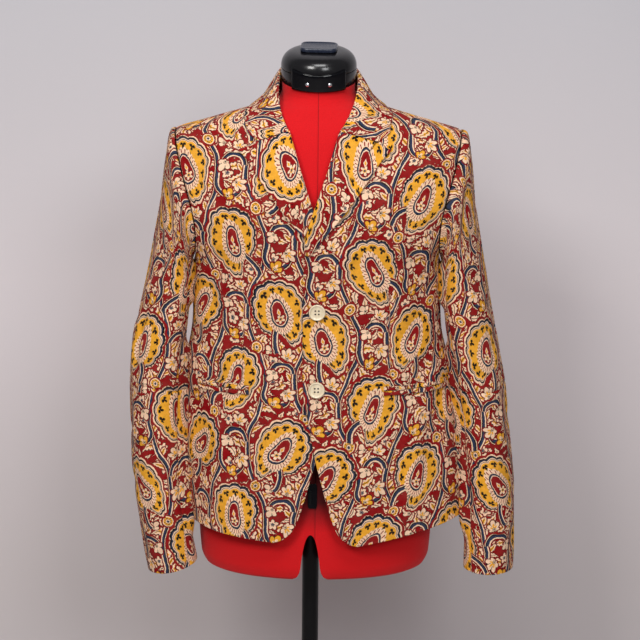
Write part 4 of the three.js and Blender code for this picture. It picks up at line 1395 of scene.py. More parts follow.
def flowers(base, u, v, size, seed, petals, colours):
    """Small flowers: the edge lies at size (0.55 + 0.45 |cos(petals angle / 2)|)."""
    x, y, column, row = cells(u, v, size * 4.1, size * 3.7)
    reach, angle = round_about(x, y)
    wave = abs((angle * (petals / 2) + chance(column, row, seed) * 6.0).cos())
    away = reach - wave * (size * 0.45) - size * 0.55
    heart, petal, edge = colours
    stops = (size * -0.6, heart), (-0.2, petal), (0.7, edge), (2.2, MADDER)
    base = lay(base, stripes(away, -size, *stops))
    return blend(base, BLACK, away.near(-size * 0.42, size * 0.14) * wave.under(0.35, 0.15))


# %% [markdown]
# The stems wind up between the columns of hearts, with leaves on both sides. Between two hearts
# of a column stands a spray: two arched stems and five blossoms like open fans. Each is a formula
# in its own distance and angle, so it stays sharp at any size of picture.

# %% Stems and sprays
def stem_colours(away):
    """A stem by signed distance from its middle: slate, a dark line on one side, a cream edge."""
    slate = stripes(abs(away), -1, (2.0, INDIGO), (3.9, CREAM), (4.4, BLACK), (5.8, MADDER))
    return slate, away.near(2.2, 0.8)


def winding_stems(base, x, y):
    """Stems along |x| = 34.5 + 15 cos(2 pi y / repeat), with leaves at every tenth of it."""
    wave = (y * (2 * math.pi / REPEAT)).cos() * 15 + 34.5
    away = abs(x) - wave
    pitch = REPEAT / 10
    count = (y / pitch).floor()
    side = 1 - (count % 2.0) * 2
    lx, ly = turned_by(away * side - 8.0, (y % pitch) - pitch / 2, 0.8)
    leaf = abs(ly) - (1 - lx * lx * (1 / 10.5**2)) * 4.0 + abs((lx * 0.9).sin()) * 0.8
    base = lay(base, stripes(leaf, -4, (-1.7, OCHRE), (0.0, CREAM), (0.55, BLACK), (1.7, MADDER)))
    base = blend(base, BLACK, abs(ly).under(0.4, 0.3) * abs(lx).under(6, 0.4))
    slate, line = stem_colours(away)
    return blend(lay(base, slate), BLACK, line)


def arch(base, x, y, centre, radius, low, high):
    """Part of a ring of stem round a centre, between two heights."""
    reach, _ = round_about(x - centre[0], y - centre[1])
    part = y.near((low + high) / 2, (high - low) / 2, 0.6)
    slate, line = stem_colours(reach - radius)
    return blend(lay(base, slate, part), BLACK, line * part)


def fan(base, x, y, centre, turn, size, petals, colours):
    """A blossom like an open fan: petals |cos(petals angle)| are drawn out on the side it faces,
    and dark rays part them."""
    fx, fy = turned_by(x - centre[0], y - centre[1], turn)
    reach, angle = round_about(fx, fy)
    open_side = angle.cos()
    wave = abs((angle * petals).cos())
    away = reach - (wave * 0.34 + 0.5) * (open_side * 0.46 + 0.72) * size
    inner, outer = colours
    colour = stripes(away, -size, (-size * 0.42, inner), (-0.1, outer), (0.6, BLACK), (2.2, MADDER))
    base = lay(base, colour)
    rays = wave.under(0.2, 0.1) * reach.near(size * 0.6, size * 0.26) * open_side.most(0.0)
    base = blend(base, BLACK, rays)
    return lay(base, stripes(reach, -1, (1.2, BLACK), (2.0, CREAM), (2.5, BLACK)))


def rosette(base, x, y, centre, size):
    """A dotted round flower: an ochre ring with dark seeds round a cream eye."""
    reach, angle = round_about(x - centre[0], y - centre[1])
    rings = stripes(
        reach, -1, (size * 0.24, INDIGO), (size * 0.42, CREAM), (size * 0.49, BLACK),
        (size * 0.86, OCHRE), (size * 1.02, CREAM), (size * 1.09, BLACK), (size * 1.3, MADDER),
    )
    seeds = (angle * 9).cos().under(-0.35, 0.2) * reach.near(size * 0.68, 0.7)
    return blend(lay(base, rings), BLACK, seeds)


# %% [markdown]
# A heart is printed with four blocks: a lobed cream border with beads, a slate outline that is
# heavier on one side, an ochre field with a dark sprig in each lobe, and a drop-shaped core inside a
# comb of short strokes. Distance from the lobed edge drives all of them, so they keep step with it.

# %% Hearts
LOBES = 14


def heart_cells(u, v):
    """The nearest of two lattices of 138 by 198 mm, half a step apart: place and chance numbers."""
    ax, ay, a_column, a_row = cells(u, v, COLUMN * 2, REPEAT, 0)
    bx, by, b_column, b_row = cells(u - COLUMN, v - REPEAT / 2, COLUMN * 2, REPEAT, 0)
    first = (bx * bx + by * by - ax * ax - ay * ay).math("GREATER_THAN", 0)
    pairs = (ax, bx), (ay, by), (a_column, b_column + 0.5), (a_row, b_row + 0.5)
    return [b + (a - b) * first for a, b in pairs]


def heart(base, x, y, column, row):
    """A lobed egg whose edge is 38 + 3 |sin(lobes angle / 2)|^0.8 - 17 cleft, narrower below, with
    the cleft where its stem curls in. Each is turned and mirrored by chance."""
    tilt = chance(column, row, 0.4) * 1.5 - 0.75
    mirror = 1 - chance(column, row, 3.1).math("GREATER_THAN", 0.5) * 2
    hx, hy = turned_by(x * mirror, y, tilt)
    reach, angle = round_about(hx / (hy * 0.0045 + 0.82), hy * 0.86)
    lobes = abs((angle * (LOBES / 2)).sin()) ** 0.8
    cleft = (angle + 1.05).cos().most(0.0) ** 12.0
    away = reach - lobes * 3.0 + cleft * 17 - 38.0
    side = (hx + hy) * 0.018 + 0.5
    base = lay(base, stripes(away, -1, (4.2, CREAM), (7.5, MADDER)))
    beads = (angle * 50).cos().under(-0.1, 0.3) * away.near(3.3, 0.8) * (hx * -1.0).under(4, 6)
    base = blend(base, BLACK, beads)
    base = blend(base, INDIGO, away.near(side * 0.5 + 0.3, 1.3))
    base = blend(base, BLACK, away.near(side * 1.3 + 0.4, 0.9))
    base = blend(base, CREAM, away.under(-0.9))
    base = blend(base, BLACK, away.near(-2.2, 0.4))
    base = blend(base, OCHRE, away.under(-3.6))
    # A dark three-leaved sprig in each lobe
    step = 2 * math.pi / LOBES
    local = (angle % step) - step / 2
    sprig_reach, sprig_angle = round_about(local * 29.0, away + 9.0)
    petal = sprig_reach - abs((sprig_angle * 1.5 - 0.785).cos()) * 3.9 - 0.7
    base = blend(base, BLACK, petal.under(0, 0.5))
    # The stem that curls into the cleft
    stem_reach, _ = round_about(hx + 8, hy + 44)
    inside = (hx * -1.0).under(-10, 0.5) * hy.near(-34, 17, 0.6)
    slate, line = stem_colours(stem_reach - 32)
    base = blend(lay(base, slate, inside), BLACK, line * inside)
    # The core: a drop, off centre, in a wide cream comb with dark strokes
    cx, cy = hx - 1.0, hy + 4.5
    core_reach, core_angle = round_about(cx / 0.76, cy * 0.94)
    point = (core_angle - math.pi / 2).cos().most(0.0) ** 4.0
    core = core_reach - point * 12 - 13.6
    comb = (core_angle * 26).cos()
    base = blend(base, CREAM, (core - comb * 1.2).under(9.6))
    base = blend(base, BLACK, comb.near(-1.0, 0.14, 0.12) * core.near(8.8, 1.4))
    base = blend(base, MADDER, comb.near(1.0, 0.3, 0.12) * core.near(5.0, 2.7))
    base = lay(base, stripes(core, -24, (-2.6, MADDER), (-1.3, CREAM), (0.6, INDIGO), (1.6, BLACK)))
    flower_reach, flower_angle = round_about(cx, cy + 3)
    petals = flower_reach - abs((flower_angle * 2.5).cos()) * 4.4 - 2.4
    base = lay(base, stripes(petals, -8, (0.0, CREAM), (0.9, BLACK)))
    base = lay(base, stripes(flower_reach, -1, (1.5, INDIGO), (2.6, OCHRE)))
    bud = abs(cx) + abs(cy - 8) * 0.45
    return lay(base, stripes(bud, -1, (1.6, OCHRE), (2.8, CREAM)))


# %% The whole print
# Blossoms of the spray: centre, turn, size, petals, inner and outer colour
FANS = (
    ((-9, 15), -2.2, 14, 2.5, (CREAM, CREAM)),
    ((8, -12), -0.7, 16, 3.5, (OCHRE, CREAM)),
    ((-8, -33), 0.9, 13, 2.5, (CREAM, OCHRE)),
    ((9, 38), 1.2, 14, 3.5, (OCHRE, CREAM)),
    ((-12, 45), 2.4, 11, 2.5, (CREAM, CREAM)),
)


def block_print():
    """The colour of the printed cloth, drawn layer by layer on its flat places."""
    flat = Ink.node("UVMap", {"uv_map": "cloth"})
    place = vector("SCALE", flat, Scale=1000.0)
    hand = vector("SUBTRACT", noise(place, 1 / 34, 0, output=1), (0.5, 0.5, 0.5))
    rough = vector("SUBTRACT", noise(place, 1 / 3.5, 1, output=1), (0.5, 0.5, 0.5))
    bent = vector("MULTIPLY_ADD", hand, (9, 9, 0), place)
    bent = vector("MULTIPLY_ADD", rough, (1.9, 1.9, 0), bent)
    u, v = split(bent)
    x, y = cells(u, v, COLUMN, REPEAT)[:2]
    gap = ((y + REPEAT) % REPEAT) - REPEAT / 2

    base = Ink.node("RGB")
    base.socket.default_value = MADDER
    base = leaves(base, u, v, 14.0, 1.7, (OCHRE, CREAM, BLACK))
    base = leaves(base, u + 15, v + 11, 12.0, 8.9, (CREAM, CREAM, BLACK))
    base = flowers(base, u + 9, v + 5, 8.0, 5.2, 5, (INDIGO, CREAM, BLACK))
    base = leaves(base, u + 22, v + 19, 17.0, 3.9, (OCHRE, CREAM, BLACK))
    base = winding_stems(base, x, y)
    base = arch(base, x, gap, (3, 14), 15, 14, 31)
    base = arch(base, x, gap, (-4, -16), 17, -35, -12)
    for centre, turn, size, petals, colours in FANS:
        base = fan(base, x, gap, centre, turn, size, petals, colours)
    half = x.math("SIGN")
    base = rosette(base, x * half, y * half, (34.5, 49.5), 8.0)
    base = heart(base, *heart_cells(u, v))
    return place, base


YARN = 0.75


def make_printed_cotton():
    material, shader = new_material("printed_cotton")
    place, colour = block_print()
    # Ink that took unevenly, and the yarns under it
    patch = noise(place, 1 / 22, 3, 0.6)
    worn = patch.math("MULTIPLY_ADD", 0.5, -0.17, clamp=True) * 0.2
    faded = blend(colour, rgb(238, 205, 178), worn)
    u, v = split(place)
    yarns = (u * (2 * math.pi / YARN)).sin() * (v * (2 * math.pi / YARN)).sin()
    speck = noise(place, 1 / 1.1, 1)
    uneven = noise(place, 1 / 6, 2)
    shade = yarns * 0.05 + (speck - 0.5) * 0.36 + (uneven - 0.5) * 0.45 + 0.985
    crumple = noise(place, 1 / 15, 3, 0.55) + noise(place, 1 / 42, 2, 0.5) * 1.5
    height = crumple + yarns * 0.05 + speck * 0.05
    surface = shaded(faded, shade)
    finish(shader, surface, patch * 0.1 + 0.82, height, distance=0.0036, specular_ior_level=0.08)
    print("printed cotton nodes", len(material.node_tree.nodes))
    return material


printed_cotton = make_printed_cotton()
for obj in printed_pieces:
    obj.data.materials.append(printed_cotton)

# %% [markdown]
# ## Hard finishes
# The form wears a red knit. Its colour carries a painted shadow, near black, behind the gap of the
# fronts, and painted light that makes it a little lighter at its bottom than at the neck. The cap is
# black plastic, with a glossier plate and a bluish dial bar. The pole and base are black enamel,
# and the buttons are pale horn-like resin with a soft cloud in it. The same few noises make them
# all, at sizes in millimetres, so no finish needs a picture.

# %% Plain materials
def at_object():
    """The place in the piece's own coordinates, in millimetres."""
    return vector("SCALE", Ink.node("TexCoord", {}, {}, 3), Scale=1000.0)


def make_form_cover():
    material, shader = new_material("form_cover")
    place = at_object()
    x = Ink.node("SeparateXYZ", {}, {0: place})
    z = x.second().second()
    ribs = (x * (2 * math.pi / 1.2)).sin() * (z * (2 * math.pi / 0.9)).sin()
    cloud = noise(place, 1 / 60, 3)
    fluff = noise(place, 1 / 1.3, 2)
    # Painted light: the cover is a little lighter up to z = 760 mm than from z = 870 mm up
    low = z.math("MULTIPLY_ADD", 1 / 110, -760 / 110, clamp=True)
    colour = blend(blend(rgb(206, 8, 14), rgb(196, 10, 18), low), rgb(206, 20, 28), cloud * 0.4)
    colour = blend(colour, rgb(84, 3, 7), x.near(FORM_OFFSET, 0.4, 0.5) * 0.85)
    # Painted shadow: beneath the jacket, in the gap of the fronts, the cover is darkened to near
    # black
    under = z.math("MULTIPLY_ADD", 1 / 44, -832 / 44, clamp=True) * z.under(1010, 20)
    colour = blend(colour, rgb(34, 1, 4), under * x.near(FORM_OFFSET, 62, 18) * 0.92)
    shade = ribs * 0.05 + (fluff - 0.5) * 0.3 + 1.0
    finish(shader, shaded(colour, shade), 0.86, ribs * 0.3 + fluff, distance=0.00035,
           specular_ior_level=0.2, sheen_weight=0.06)
    return material


def make_enamel(name, colour, rough, scratch, coat, mirror=0.5):
    """Dark shiny surfaces: a clear coat, with fine marks and dust that dull it here and there."""
    material, shader = new_material(name)
    place = at_object()
    dust = noise(place, 1 / 9, 4, 0.65)
    fine = noise(place, 1 / 0.8, 2)
    marks = noise(vector("MULTIPLY", place, (1, 1, 0.06)), 1 / 1.5, 2)
    roughness = dust * scratch + marks * (scratch * 0.5) + rough
    tint = blend(colour, rgb(60, 60, 66), (dust - 0.5).most(0.0) * 0.1)
    finish(shader, tint, roughness, fine, distance=0.00002, coat_weight=coat, coat_roughness=0.05,
           specular_ior_level=mirror)
    return material


def make_horn():
    material, shader = new_material("ivory_button")
    place = at_object()
    cloud = noise(vector("MULTIPLY", place, (1, 1, 0.35)), 1 / 5, 4, 0.6)
    share = cloud.math("MULTIPLY_ADD", 3, -1.1, clamp=True)
    colour = blend(rgb(224, 208, 180), rgb(200, 182, 150), share)
    finish(shader, colour, cloud * 0.2 + 0.28, cloud, distance=0.0001, coat_weight=0.3,
           subsurface_weight=0.08, subsurface_radius=(0.003, 0.002, 0.001))
    return material


def make_thread():
    material, shader = new_material("thread")
    twist = (Ink.node("SeparateXYZ", {}, {0: at_object()}) * 14.0).sin()
    finish(shader, blend(rgb(30, 22, 22), rgb(62, 44, 38), twist * 0.5 + 0.5), 0.7, twist, 0.00005)
    return material


form_cover = make_form_cover()
black_plastic = make_enamel("black_plastic", rgb(15, 14, 16), 0.16, 0.08, 0.12, 0.36)
plate_plastic = make_enamel("plate_plastic", rgb(3, 3, 6), 0.04, 0.03, 0.3, 0.15)
dial_plastic = make_enamel("dial_plastic", rgb(26, 32, 48), 0.2, 0.1, 0.2, 0.4)
black_metal = make_enamel("black_metal", rgb(5, 5, 6), 0.3, 0.12, 0.0, 0.2)
steel = make_enamel("steel", rgb(200, 202, 206), 0.18, 0.1, 0.0)
steel.node_tree.nodes["Principled BSDF"].inputs["Metallic"].default_value = 1.0
ivory_button = make_horn()
thread = make_thread()
print("finishes", [material.name for material in bpy.data.materials])

# %% [markdown]
# ## The form
# The form is one smooth body, lofted through level sections. The knit is sewn up the middle, front
# and back, so a fine groove runs down it. Subdivided boxes could be pushed into this shape too, but
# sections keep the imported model's measures. A slot and a bore for the pole are cut out below. A
# small black latch lies on the form behind the gap of the fronts.

# %% Make the form
FORM = table(
    "z half front back tilt",
    [756, 152, 88, 86, 0],
    [761, 161, 95, 93, 0],
    [778, 168, 100, 99, 0],
    [830, 171, 103, 104, 0],
    [900, 169, 101, 103, 0],
    [980, 152, 95, 88, 0],
    [1060, 132, 88, 76, 0],
    [1120, 133, 92, 78, 0],
    [1190, 148, 106, 88, 0],
    [1245, 158, 113, 95, 0],
    [1300, 164, 108, 98, 0],
    [1350, 168, 96, 97, 0],
    [1385, 164, 86, 95, 0],
    [1405.5, 154, 77, 93, 0],
    [1414.6, 135, 71, 88, 0],
    [1423.6, 106.5, 65, 83, 0],
    [1431.6, 83, 60, 74, 0],
    [1437, 68, 56, 66, 0.02],
    [1445, 56, 53, 57, 0.08],
    [1455, 52, 51, 53, 0.15],
    [1468, 51.5, 51.5, 51.5, 0.21],
)
FORM_LOW, FORM_TOP, FORM_SQUARE = 756, 1468, 2.1
POLE_RADIUS, BORE_RADIUS = 12.2, 12.5


def cut_from(obj, *cutters):
    """Takes the cutters' shapes out of a piece for good, and removes the cutters."""
    for cutter in cutters:
        cut = obj.modifiers.new("cut", "BOOLEAN")
        cut.operation = "DIFFERENCE"
        cut.solver = "EXACT"
        cut.object = cutter
    depsgraph = bpy.context.evaluated_depsgraph_get()
    whole = bpy.data.meshes.new_from_object(obj.evaluated_get(depsgraph))
    obj.modifiers.clear()
    obj.data = whole
    whole.set_sharp_from_angle(angle=math.radians(38))
    for cutter in cutters:
        bpy.data.objects.remove(cutter)
    return obj


def prism(name, outline, low, high):
    """A closed outline of x and z, carried from y = low to y = high."""
    outline = np.array(outline, float)
    count = len(outline)
    points = np.concatenate([np.insert(outline, 1, y, axis=1) for y in (low, high)])
    sides = [[i, (i + 1) % count, (i + 1) % count + count, i + count] for i in range(count)]
    faces = [list(range(count))[::-1], [i + count for i in range(count)], *sides]
    area = outline[:, 0] @ np.roll(outline[:, 1], -1) - outline[:, 1] @ np.roll(outline[:, 0], -1)
    if area > 0:
        faces = [face[::-1] for face in faces]
    return make_object(name, points, faces, [False] * len(faces))


def make_form():
    """Level superellipses. A dent of 1.3 percent runs down the seams, and a slow wave of 0.35 mm
    keeps the knit from being dead even."""
    turns = spaced(190, 0, 0, 180, 180, -180, -180, low=-180, high=180)[:-1]
    a = np.radians(turns)[None, :]
    z = spaced(170, FORM_LOW, FORM_LOW, 1437, low=FORM_LOW, high=FORM_TOP)[:, None]
    half, front, back, tilt = (along(FORM, "z", name, z) for name in "half front back tilt".split())
    rounding = (abs(np.sin(a)) ** FORM_SQUARE + abs(np.cos(a)) ** FORM_SQUARE) ** (-1 / FORM_SQUARE)
    x = half * np.sin(a) * rounding
    y = -np.where(np.cos(a) > 0, front, back) * np.cos(a) * rounding
    dent = 1 - 0.013 * np.exp(-((x / 1.5) ** 2)) * (1 - ease(1440, 1465, z))
    wave = 0.35 * np.sin(x / 23 + z / 61) * np.sin(z / 37)
    y = y * dent + wave * np.cos(a) * (1 - ease(1380, 1440, z))
    grid = np.stack([x, y, z + tilt * y], -1)
    shift = Matrix.Translation((FORM_OFFSET, 0, 0))
    obj = ring_stack("form_body_cover", grid, FORM_LOW, FORM_TOP, shift)
    # Half of the slot: a flared corner, then a Bezier curve up to its top
    f = np.linspace(0, 1, 14)[:, None]
    flank = np.array([[13.2, 784.8]]) * (1 - f) ** 2
    flank = flank + 2 * f * (1 - f) * np.array([[8.25, 828]]) + f**2 * np.array([[0, 828]])
    corner = [[30, 740], [25, 757], [19, 762], [15.6, 769], [14, 777]]
    half_slot = np.concatenate([corner, flank])
    outline = np.concatenate([half_slot, half_slot[-2::-1] * np.array([-1, 1])])
    bore = [[0, 740], [BORE_RADIUS, 740], [BORE_RADIUS, 1150.3], [0, 1150.3]]
    return cut_from(obj, prism("slot", outline, -150, 150), turned_object("bore", bore, 64))


def make_latch(name, middle, half_wide, low, high, out, material):
    """A thin plate on the form: y = -front (1 - |x / half|^2.1)^(1 / 2.1) - out, over a grid of x
    and z whose corners are drawn in."""
    s, t = np.meshgrid(spaced(24, 0, 1), spaced(40, 0, 1))
    corner = 1 - 0.25 * (2 * abs(t - 0.5)) ** 8
    x = middle + (2 * s - 1) * half_wide * corner
    z = mix(low, high, t)
    half, front = along(FORM, "z", "half", z), along(FORM, "z", "front", z)
    share = abs(x - FORM_OFFSET) / half
    y = -front * (1 - share**FORM_SQUARE) ** (1 / FORM_SQUARE) - out
    normal = np.broadcast_to([0.0, -1.0, 0.0], (*x.shape, 3))
    obj = cloth_object(name, np.stack([x, y, z], -1), normal, np.stack([s, t], -1), 1.5)
    carry(obj, None, material)


carry(make_form(), "form_body", form_cover)
make_latch("form_latch_plate", 2.5, 6.5, 868, 904, 1.9, plate_plastic)
make_latch("form_latch_clip", -0.5, 1.5, 874, 894, 3.3, black_metal)

# %% [markdown]
# ## The neck cap
# The cap is a ring and a dome with a fine gap between them, a bar on top that turns a dial inside,
# and a small plate in front, held by two cross-head screws. It leans forward with the neck, so
# each part is made upright round the axis and then moved by one matrix.

# %% Make the cap
CAP = Matrix.Translation((FORM_OFFSET, 0, 1468.3)) @ Matrix.Rotation(math.atan(0.21), 4, "X")
CAP_RADIUS = 53.5
DIAL_HALF, DIAL_TURN = (26, 19.5), math.radians(-4)
PLATE = {"half_turn": 42, "radius": 57.8, "thickness": 2.7}
PLATE |= {"low": -1, "middle": 11, "high": 23, "scoop": 6.4}


def make_cap():
    """The dome's outline: x = radius cos(a)^(4 / 11), z = 21.3 + 23.2 sin(a)."""
    ring = filleted([[0, 0], [52.3, 0], [53.3, 10], [CAP_RADIUS, 20], [0, 20]], [1.2, 4, 1.1])
    a = np.linspace(0, math.pi / 2, 60)[1:, None]
    reach = CAP_RADIUS * np.maximum(np.cos(a), 0) ** (4 / 11)
    curve = np.concatenate([reach, 21.3 + 23.2 * np.sin(a)], 1)
    curve[-1, 0] = 0
    lip = filleted([[0, 20.3], [52.5, 20.3], [CAP_RADIUS, 21.3]], [0.4])
    for part, profile in (("ring", ring), ("dome", np.concatenate([lip, curve]))):
        obj = turned_object(f"cap_{part}_turned", profile, place=CAP)
        carry(obj, f"cap_{part}", black_plastic)


def make_dial():
    """A rounded bar: rings of one outline, drawn in by each ring's inset, with a dished top."""
    rings = table(
        "inset z",
        [30, 44.8],
        [1.2, 44.8],
        [0.35, 45.15],
        [0, 46],
        [0, 49],
        [0.3, 49.9],
        [1.1, 50.5],
        [2.2, 50.6],
        [3, 50.3],
        [3.6, 49.7],
        [4.6, 49.4],
        [30, 49.4],
    )
    a = round_angles(96)[None, :]
    reach = (abs(np.cos(a)) ** 5 + abs(np.sin(a)) ** 5) ** (-1 / 5)
    wide, deep = (np.maximum(half - rings["inset"][:, None], 0.01) for half in DIAL_HALF)
    x, y = wide * np.cos(a) * reach, deep * np.sin(a) * reach
    points = np.stack(np.broadcast_arrays(x, y, rings["z"][:, None]), -1).reshape(-1, 3)
    quads = grid_quads(len(rings["z"]), 96, closed=True)
    obj = make_object("cap_dial_bar", points, quads.tolist(), [True] * len(quads))
    move_mm(obj, CAP @ Matrix.Rotation(DIAL_TURN, 4, "Z"))
    carry(obj, "cap_dial", dial_plastic)


def make_plate():
    """A slab bent round the cap: its corners are rounded, it thins towards its rim, and its top
    edge is scooped."""
    s, t = np.meshgrid(spaced(56, 0, 1), spaced(30, 0, 1))
    a = np.radians(mix(-PLATE["half_turn"], PLATE["half_turn"], s))
    bulge = 1 - (2 * np.abs(s - 0.5)) ** 10
    end = 1 - (2 * np.abs(t - 0.5)) ** 8
    radius = PLATE["radius"] - 1.2 * (1 - np.clip(bulge * end, 0, 1) ** 0.5)
    normal = np.stack([np.sin(a), -np.cos(a), 0 * a], -1)
    pull = 1 - 0.05 * (2 * np.abs(s - 0.5)) ** 8
    rise = mix(PLATE["low"], PLATE["high"] + PLATE["scoop"] * (2 * s - 1) ** 2, t)
    z = PLATE["middle"] + (rise - PLATE["middle"]) * pull
    points = normal * radius[..., None] + np.stack([0 * a, 0 * a, z], -1)
    places = np.stack([s, t], -1)
    obj = cloth_object("cap_plate_slab", points, normal, places, PLATE["thickness"])
    move_mm(obj, CAP)
    bevel = obj.modifiers.new("edge", "BEVEL")
    bevel.width = 0.0005
    bevel.segments = 3
    bevel.limit_method = "ANGLE"
    bevel.angle_limit = math.radians(50)
    carry(obj, "cap_plate", plate_plastic)


def make_screw(x, number):
    a = math.asin(x / CAP_RADIUS)
    place = CAP @ Matrix.Rotation(a, 4, "Z") @ Matrix.Translation((0, -58.1, 10))
    place = place @ Matrix.Rotation(math.pi / 2, 4, "X")
    profile = filleted([[0, 0], [3, 0], [2.9, 0.7], [1.5, 1.75], [0, 1.9]], [0.2, 0.3, 0.5])
    obj = turned_object(f"cap_screw_{number}_head", profile, 48, place)
    arm, far = 0.32, 1.7
    cross = [[arm, far], [arm, arm], [far, arm], [far, -arm], [arm, -arm], [arm, -far],
             [-arm, -far], [-arm, -arm], [-far, -arm], [-far, arm], [-arm, arm], [-arm, far]]
    cutter = prism("cross", cross, 1.0, 3.0)
    upright = Matrix(((1, 0, 0, 0), (0, 0, 1, 0), (0, 1, 0, 0), (0, 0, 0, 1)))
    move_mm(cutter, place @ upright)
    cutter.data.flip_normals()
    carry(cut_from(obj, cutter), f"cap_screw_{number}", steel)


make_cap()
make_dial()
make_plate()
for number, x in ((1, -14.5), (2, 14.5)):
    make_screw(x, number)

# %% [markdown]
# ## Buttons
# Each button is turned with a raised rim round a dished face, and drilled with four holes. A
# picture of holes would do from afar, but real ones keep their shade from every side. Dark thread
# fills them, as four short plugs.

# %% Make the buttons
HOLE, PLUG_RADIUS, PLUG_SIDES = 2.4, 1.15, 16
BUTTON_PROFILE = [
    [0, 0], [9.2, 0], [11.3, 1.2], [11.75, 2.1], [11.2, 3.4], [10.1, 3.6], [8.4, 2.3], [0, 2.1],
]
BUTTON_FILLETS = [1.2, 0.6, 0.6, 0.6, 0.5, 0.9]
BUTTON_HEIGHTS = {"button_top": 1157, "button_bottom": 1045}


def plug(name, path):
    """A round section carried along a straight path, its ends closed by flat faces."""
    forward = unit(np.gradient(path, axis=0))
    across = unit(np.cross(forward, np.array([0.31, 0.2, 0.93])))
    other = np.cross(forward, across)
    a = round_angles(PLUG_SIDES)[None, :, None]
    around = across[:, None] * np.cos(a) + other[:, None] * np.sin(a)
    points = (path[:, None] + PLUG_RADIUS * around).reshape(-1, 3)
    faces = grid_quads(len(path), PLUG_SIDES, closed=True).tolist()
    last = (len(path) - 1) * PLUG_SIDES
    ends = [list(range(PLUG_SIDES))[::-1], [last + i for i in range(PLUG_SIDES)]]
    return make_object(name, points, faces + ends, [True] * len(faces) + [False] * 2)


def make_button(name, z):
    seat = on_front(1, turn_at(0.5, z), z, 1.0) + np.array([FORM_OFFSET, 0, 0])
    toward = body_normal(turn_at(0.5, z), z)
    side = unit(np.cross(np.array([0, 0, 1.0]), toward))
    place = axes_matrix(side, np.cross(toward, side), toward, seat)
    profile = filleted(BUTTON_PROFILE, BUTTON_FILLETS)
    blank = turned_object(f"{name}_turned", profile, 96, place)
    holes = []
    for k, (hx, hy) in enumerate([(-HOLE, -HOLE), (HOLE, -HOLE), (HOLE, HOLE), (-HOLE, HOLE)]):
        hole = [[0, -1], [1.35, -1], [1.35, 5], [0, 5]]
        holes.append(turned_object(f"hole_{k}", hole, 24, place @ Matrix.Translation((hx, hy, 0))))
        path = np.stack([np.full(6, hx), np.full(6, hy), np.linspace(0.1, 1.5, 6)], -1)
        carry(plug(f"{name}_thread_{k + 1}", placed(path, place)), None, thread)
    carry(cut_from(blank, *holes), name, ivory_button)


for name, z in BUTTON_HEIGHTS.items():
    make_button(name, z)

# %% [markdown]
# ## The stand
# A black enamelled pole rises out of a socket on a round pressed base. The base lies below the
# picture, so it is a plain one of the usual size. All three are turned from short profiles.

# %% Make the stand
def make_stand():
    pole = filleted([[0, 22], [POLE_RADIUS, 22], [POLE_RADIUS, 1150], [0, 1150]], [0.5, 0.5])
    between = np.stack([np.full(30, POLE_RADIUS), np.linspace(60, 1100, 30)], -1)
    tube = turned_object("pole_tube", np.concatenate([pole[:-7], between, pole[-7:]]), 96)
    carry(tube, "pole", black_metal)
    rim = filleted([[0, 0], [190, 0], [190, 8], [184, 12], [0, 12]], [1.5, 2.5, 5])
    plate = turned_object("base_pressed_plate", rim, 192)
    carry(plate, "base_plate", black_metal)
    hub = [[0, 12.3], [30, 12.3], [30, 20.3], [21, 30.3], [19, 72.3], [0, 72.3]]
    socket = turned_object("base_socket", filleted(hub, [0.6, 3, 5, 1.2]), 128)
    hollow = [[0, 21.7], [BORE_RADIUS, 21.7], [BORE_RADIUS, 80], [0, 80]]
    cut_from(socket, turned_object("socket_bore", hollow, 96))
    carry(socket, "base_hub", black_metal)


make_stand()

# %% [markdown]
# ## Room and light
# The jacket is shown before a plain pale wall, which is clear when it is seen from behind. Two soft
# lights stand in front, high on each side, and a weaker one hangs above. The wall's colour carries
# painted shade: it is a little darker towards the floor and the ceiling.

# %% Stage
FLOOR_REACH, BEND_START, BEND, WALL_TOP = 9000.0, 200, 300, 3200


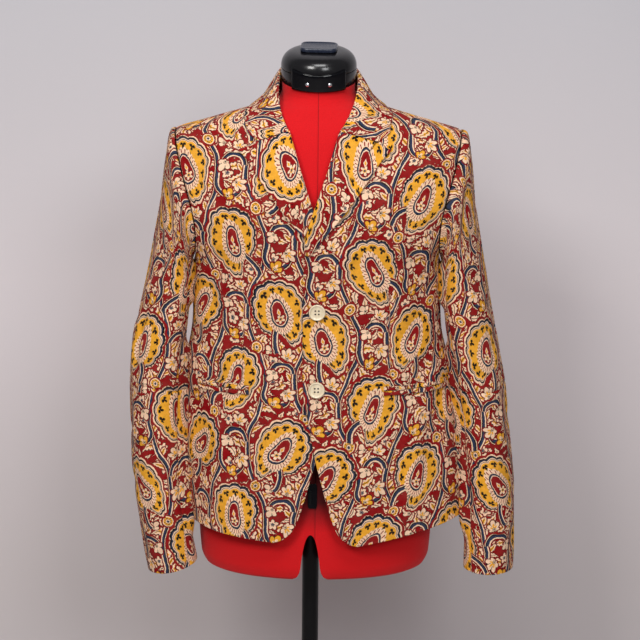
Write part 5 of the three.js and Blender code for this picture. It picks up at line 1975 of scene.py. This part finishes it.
def make_stage():
    """A floor that bends up into a wall, as one wide sheet."""
    a = np.radians(np.linspace(0, 90, 24))
    bend = np.stack([BEND_START + BEND * np.sin(a), BEND - BEND * np.cos(a)], -1)
    ends = [[-FLOOR_REACH, 0], [BEND_START, 0]], [[BEND_START + BEND, WALL_TOP]]
    profile = np.concatenate([ends[0], bend[1:], ends[1]])
    x = np.array([-FLOOR_REACH, 0, FLOOR_REACH])
    grid = np.stack(np.broadcast_arrays(x[None, :], profile[:, :1], profile[:, 1:]), -1)
    quads = grid_quads(len(profile), 3)
    wall = make_object("studio_sheet", grid.reshape(-1, 3), quads.tolist(), [True] * len(quads))
    material, shader = new_material("pale_wall")
    place = at_object()
    z = Ink.node("SeparateXYZ", {}, {0: place}, 2)
    # Painted shade: the wall is darker towards the floor and the ceiling; the slow noise is an
    # uneven tone of its own
    low = z.math("MULTIPLY_ADD", 1 / 450, -560 / 450, clamp=True)
    high = z.math("MULTIPLY_ADD", 1 / 500, -1080 / 500, clamp=True)
    tone_with_painted_shade = blend(blend(rgb(198, 189, 188), rgb(208, 199, 201), low), rgb(176, 174, 179), high)
    tone_with_painted_shade = blend(tone_with_painted_shade, rgb(200, 196, 199), noise(place, 1 / 700, 2) * 0.5)
    finish(shader, tone_with_painted_shade, 0.9, noise(place, 1 / 2, 3), 0.0001)
    # Seen from behind, the wall is clear, so that the object's back can be looked at
    behind = Ink.node("NewGeometry", {}, {}, 6)
    clear = Ink.node("BsdfTransparent")
    both = Ink.node("MixShader", {}, {0: behind, 1: Ink(shader.outputs[0]), 2: clear})
    ending = next(node for node in Ink.tree.nodes if node.type == "OUTPUT_MATERIAL")
    Ink.tree.links.new(both.socket, ending.inputs["Surface"])
    wall.data.materials.append(material)
    print("wall faces", [round(v, 2) for v in wall.data.polygons[len(quads) - 1].normal])


def add_light(name, place, aim, size, power, colour=(1, 1, 1)):
    light = bpy.data.lights.new(name, "AREA")
    light.shape = "RECTANGLE"
    light.size, light.size_y = size
    light.energy = power
    light.color = colour
    obj = bpy.data.objects.new(name, light)
    bpy.context.collection.objects.link(obj)
    direction = np.array(place, float) - np.array(aim, float)
    x = unit(np.cross(np.array([0, 0, 1.0]), direction))
    z = unit(direction)
    obj.matrix_world = axes_matrix(x, np.cross(z, x), z, place)


make_stage()
add_light("soft_left", (-1.05, -2.35, 2.8), (0, 0, 1.15), (0.8, 0.8), 50, (1.0, 0.985, 0.96))
add_light("soft_right", (0.9, -2.6, 2.4), (0, 0, 1.15), (0.8, 0.8), 27, (0.97, 0.985, 1.0))
add_light("window", (0.1, -1.3, 2.9), (0, 0, 1.25), (0.9, 0.5), 20)

world = bpy.data.worlds.new("room")
bpy.context.scene.world = world
world.use_nodes = True
sky = world.node_tree.nodes["Background"]
sky.inputs["Color"].default_value = (0.9, 0.92, 0.95, 1)
sky.inputs["Strength"].default_value = 0.25
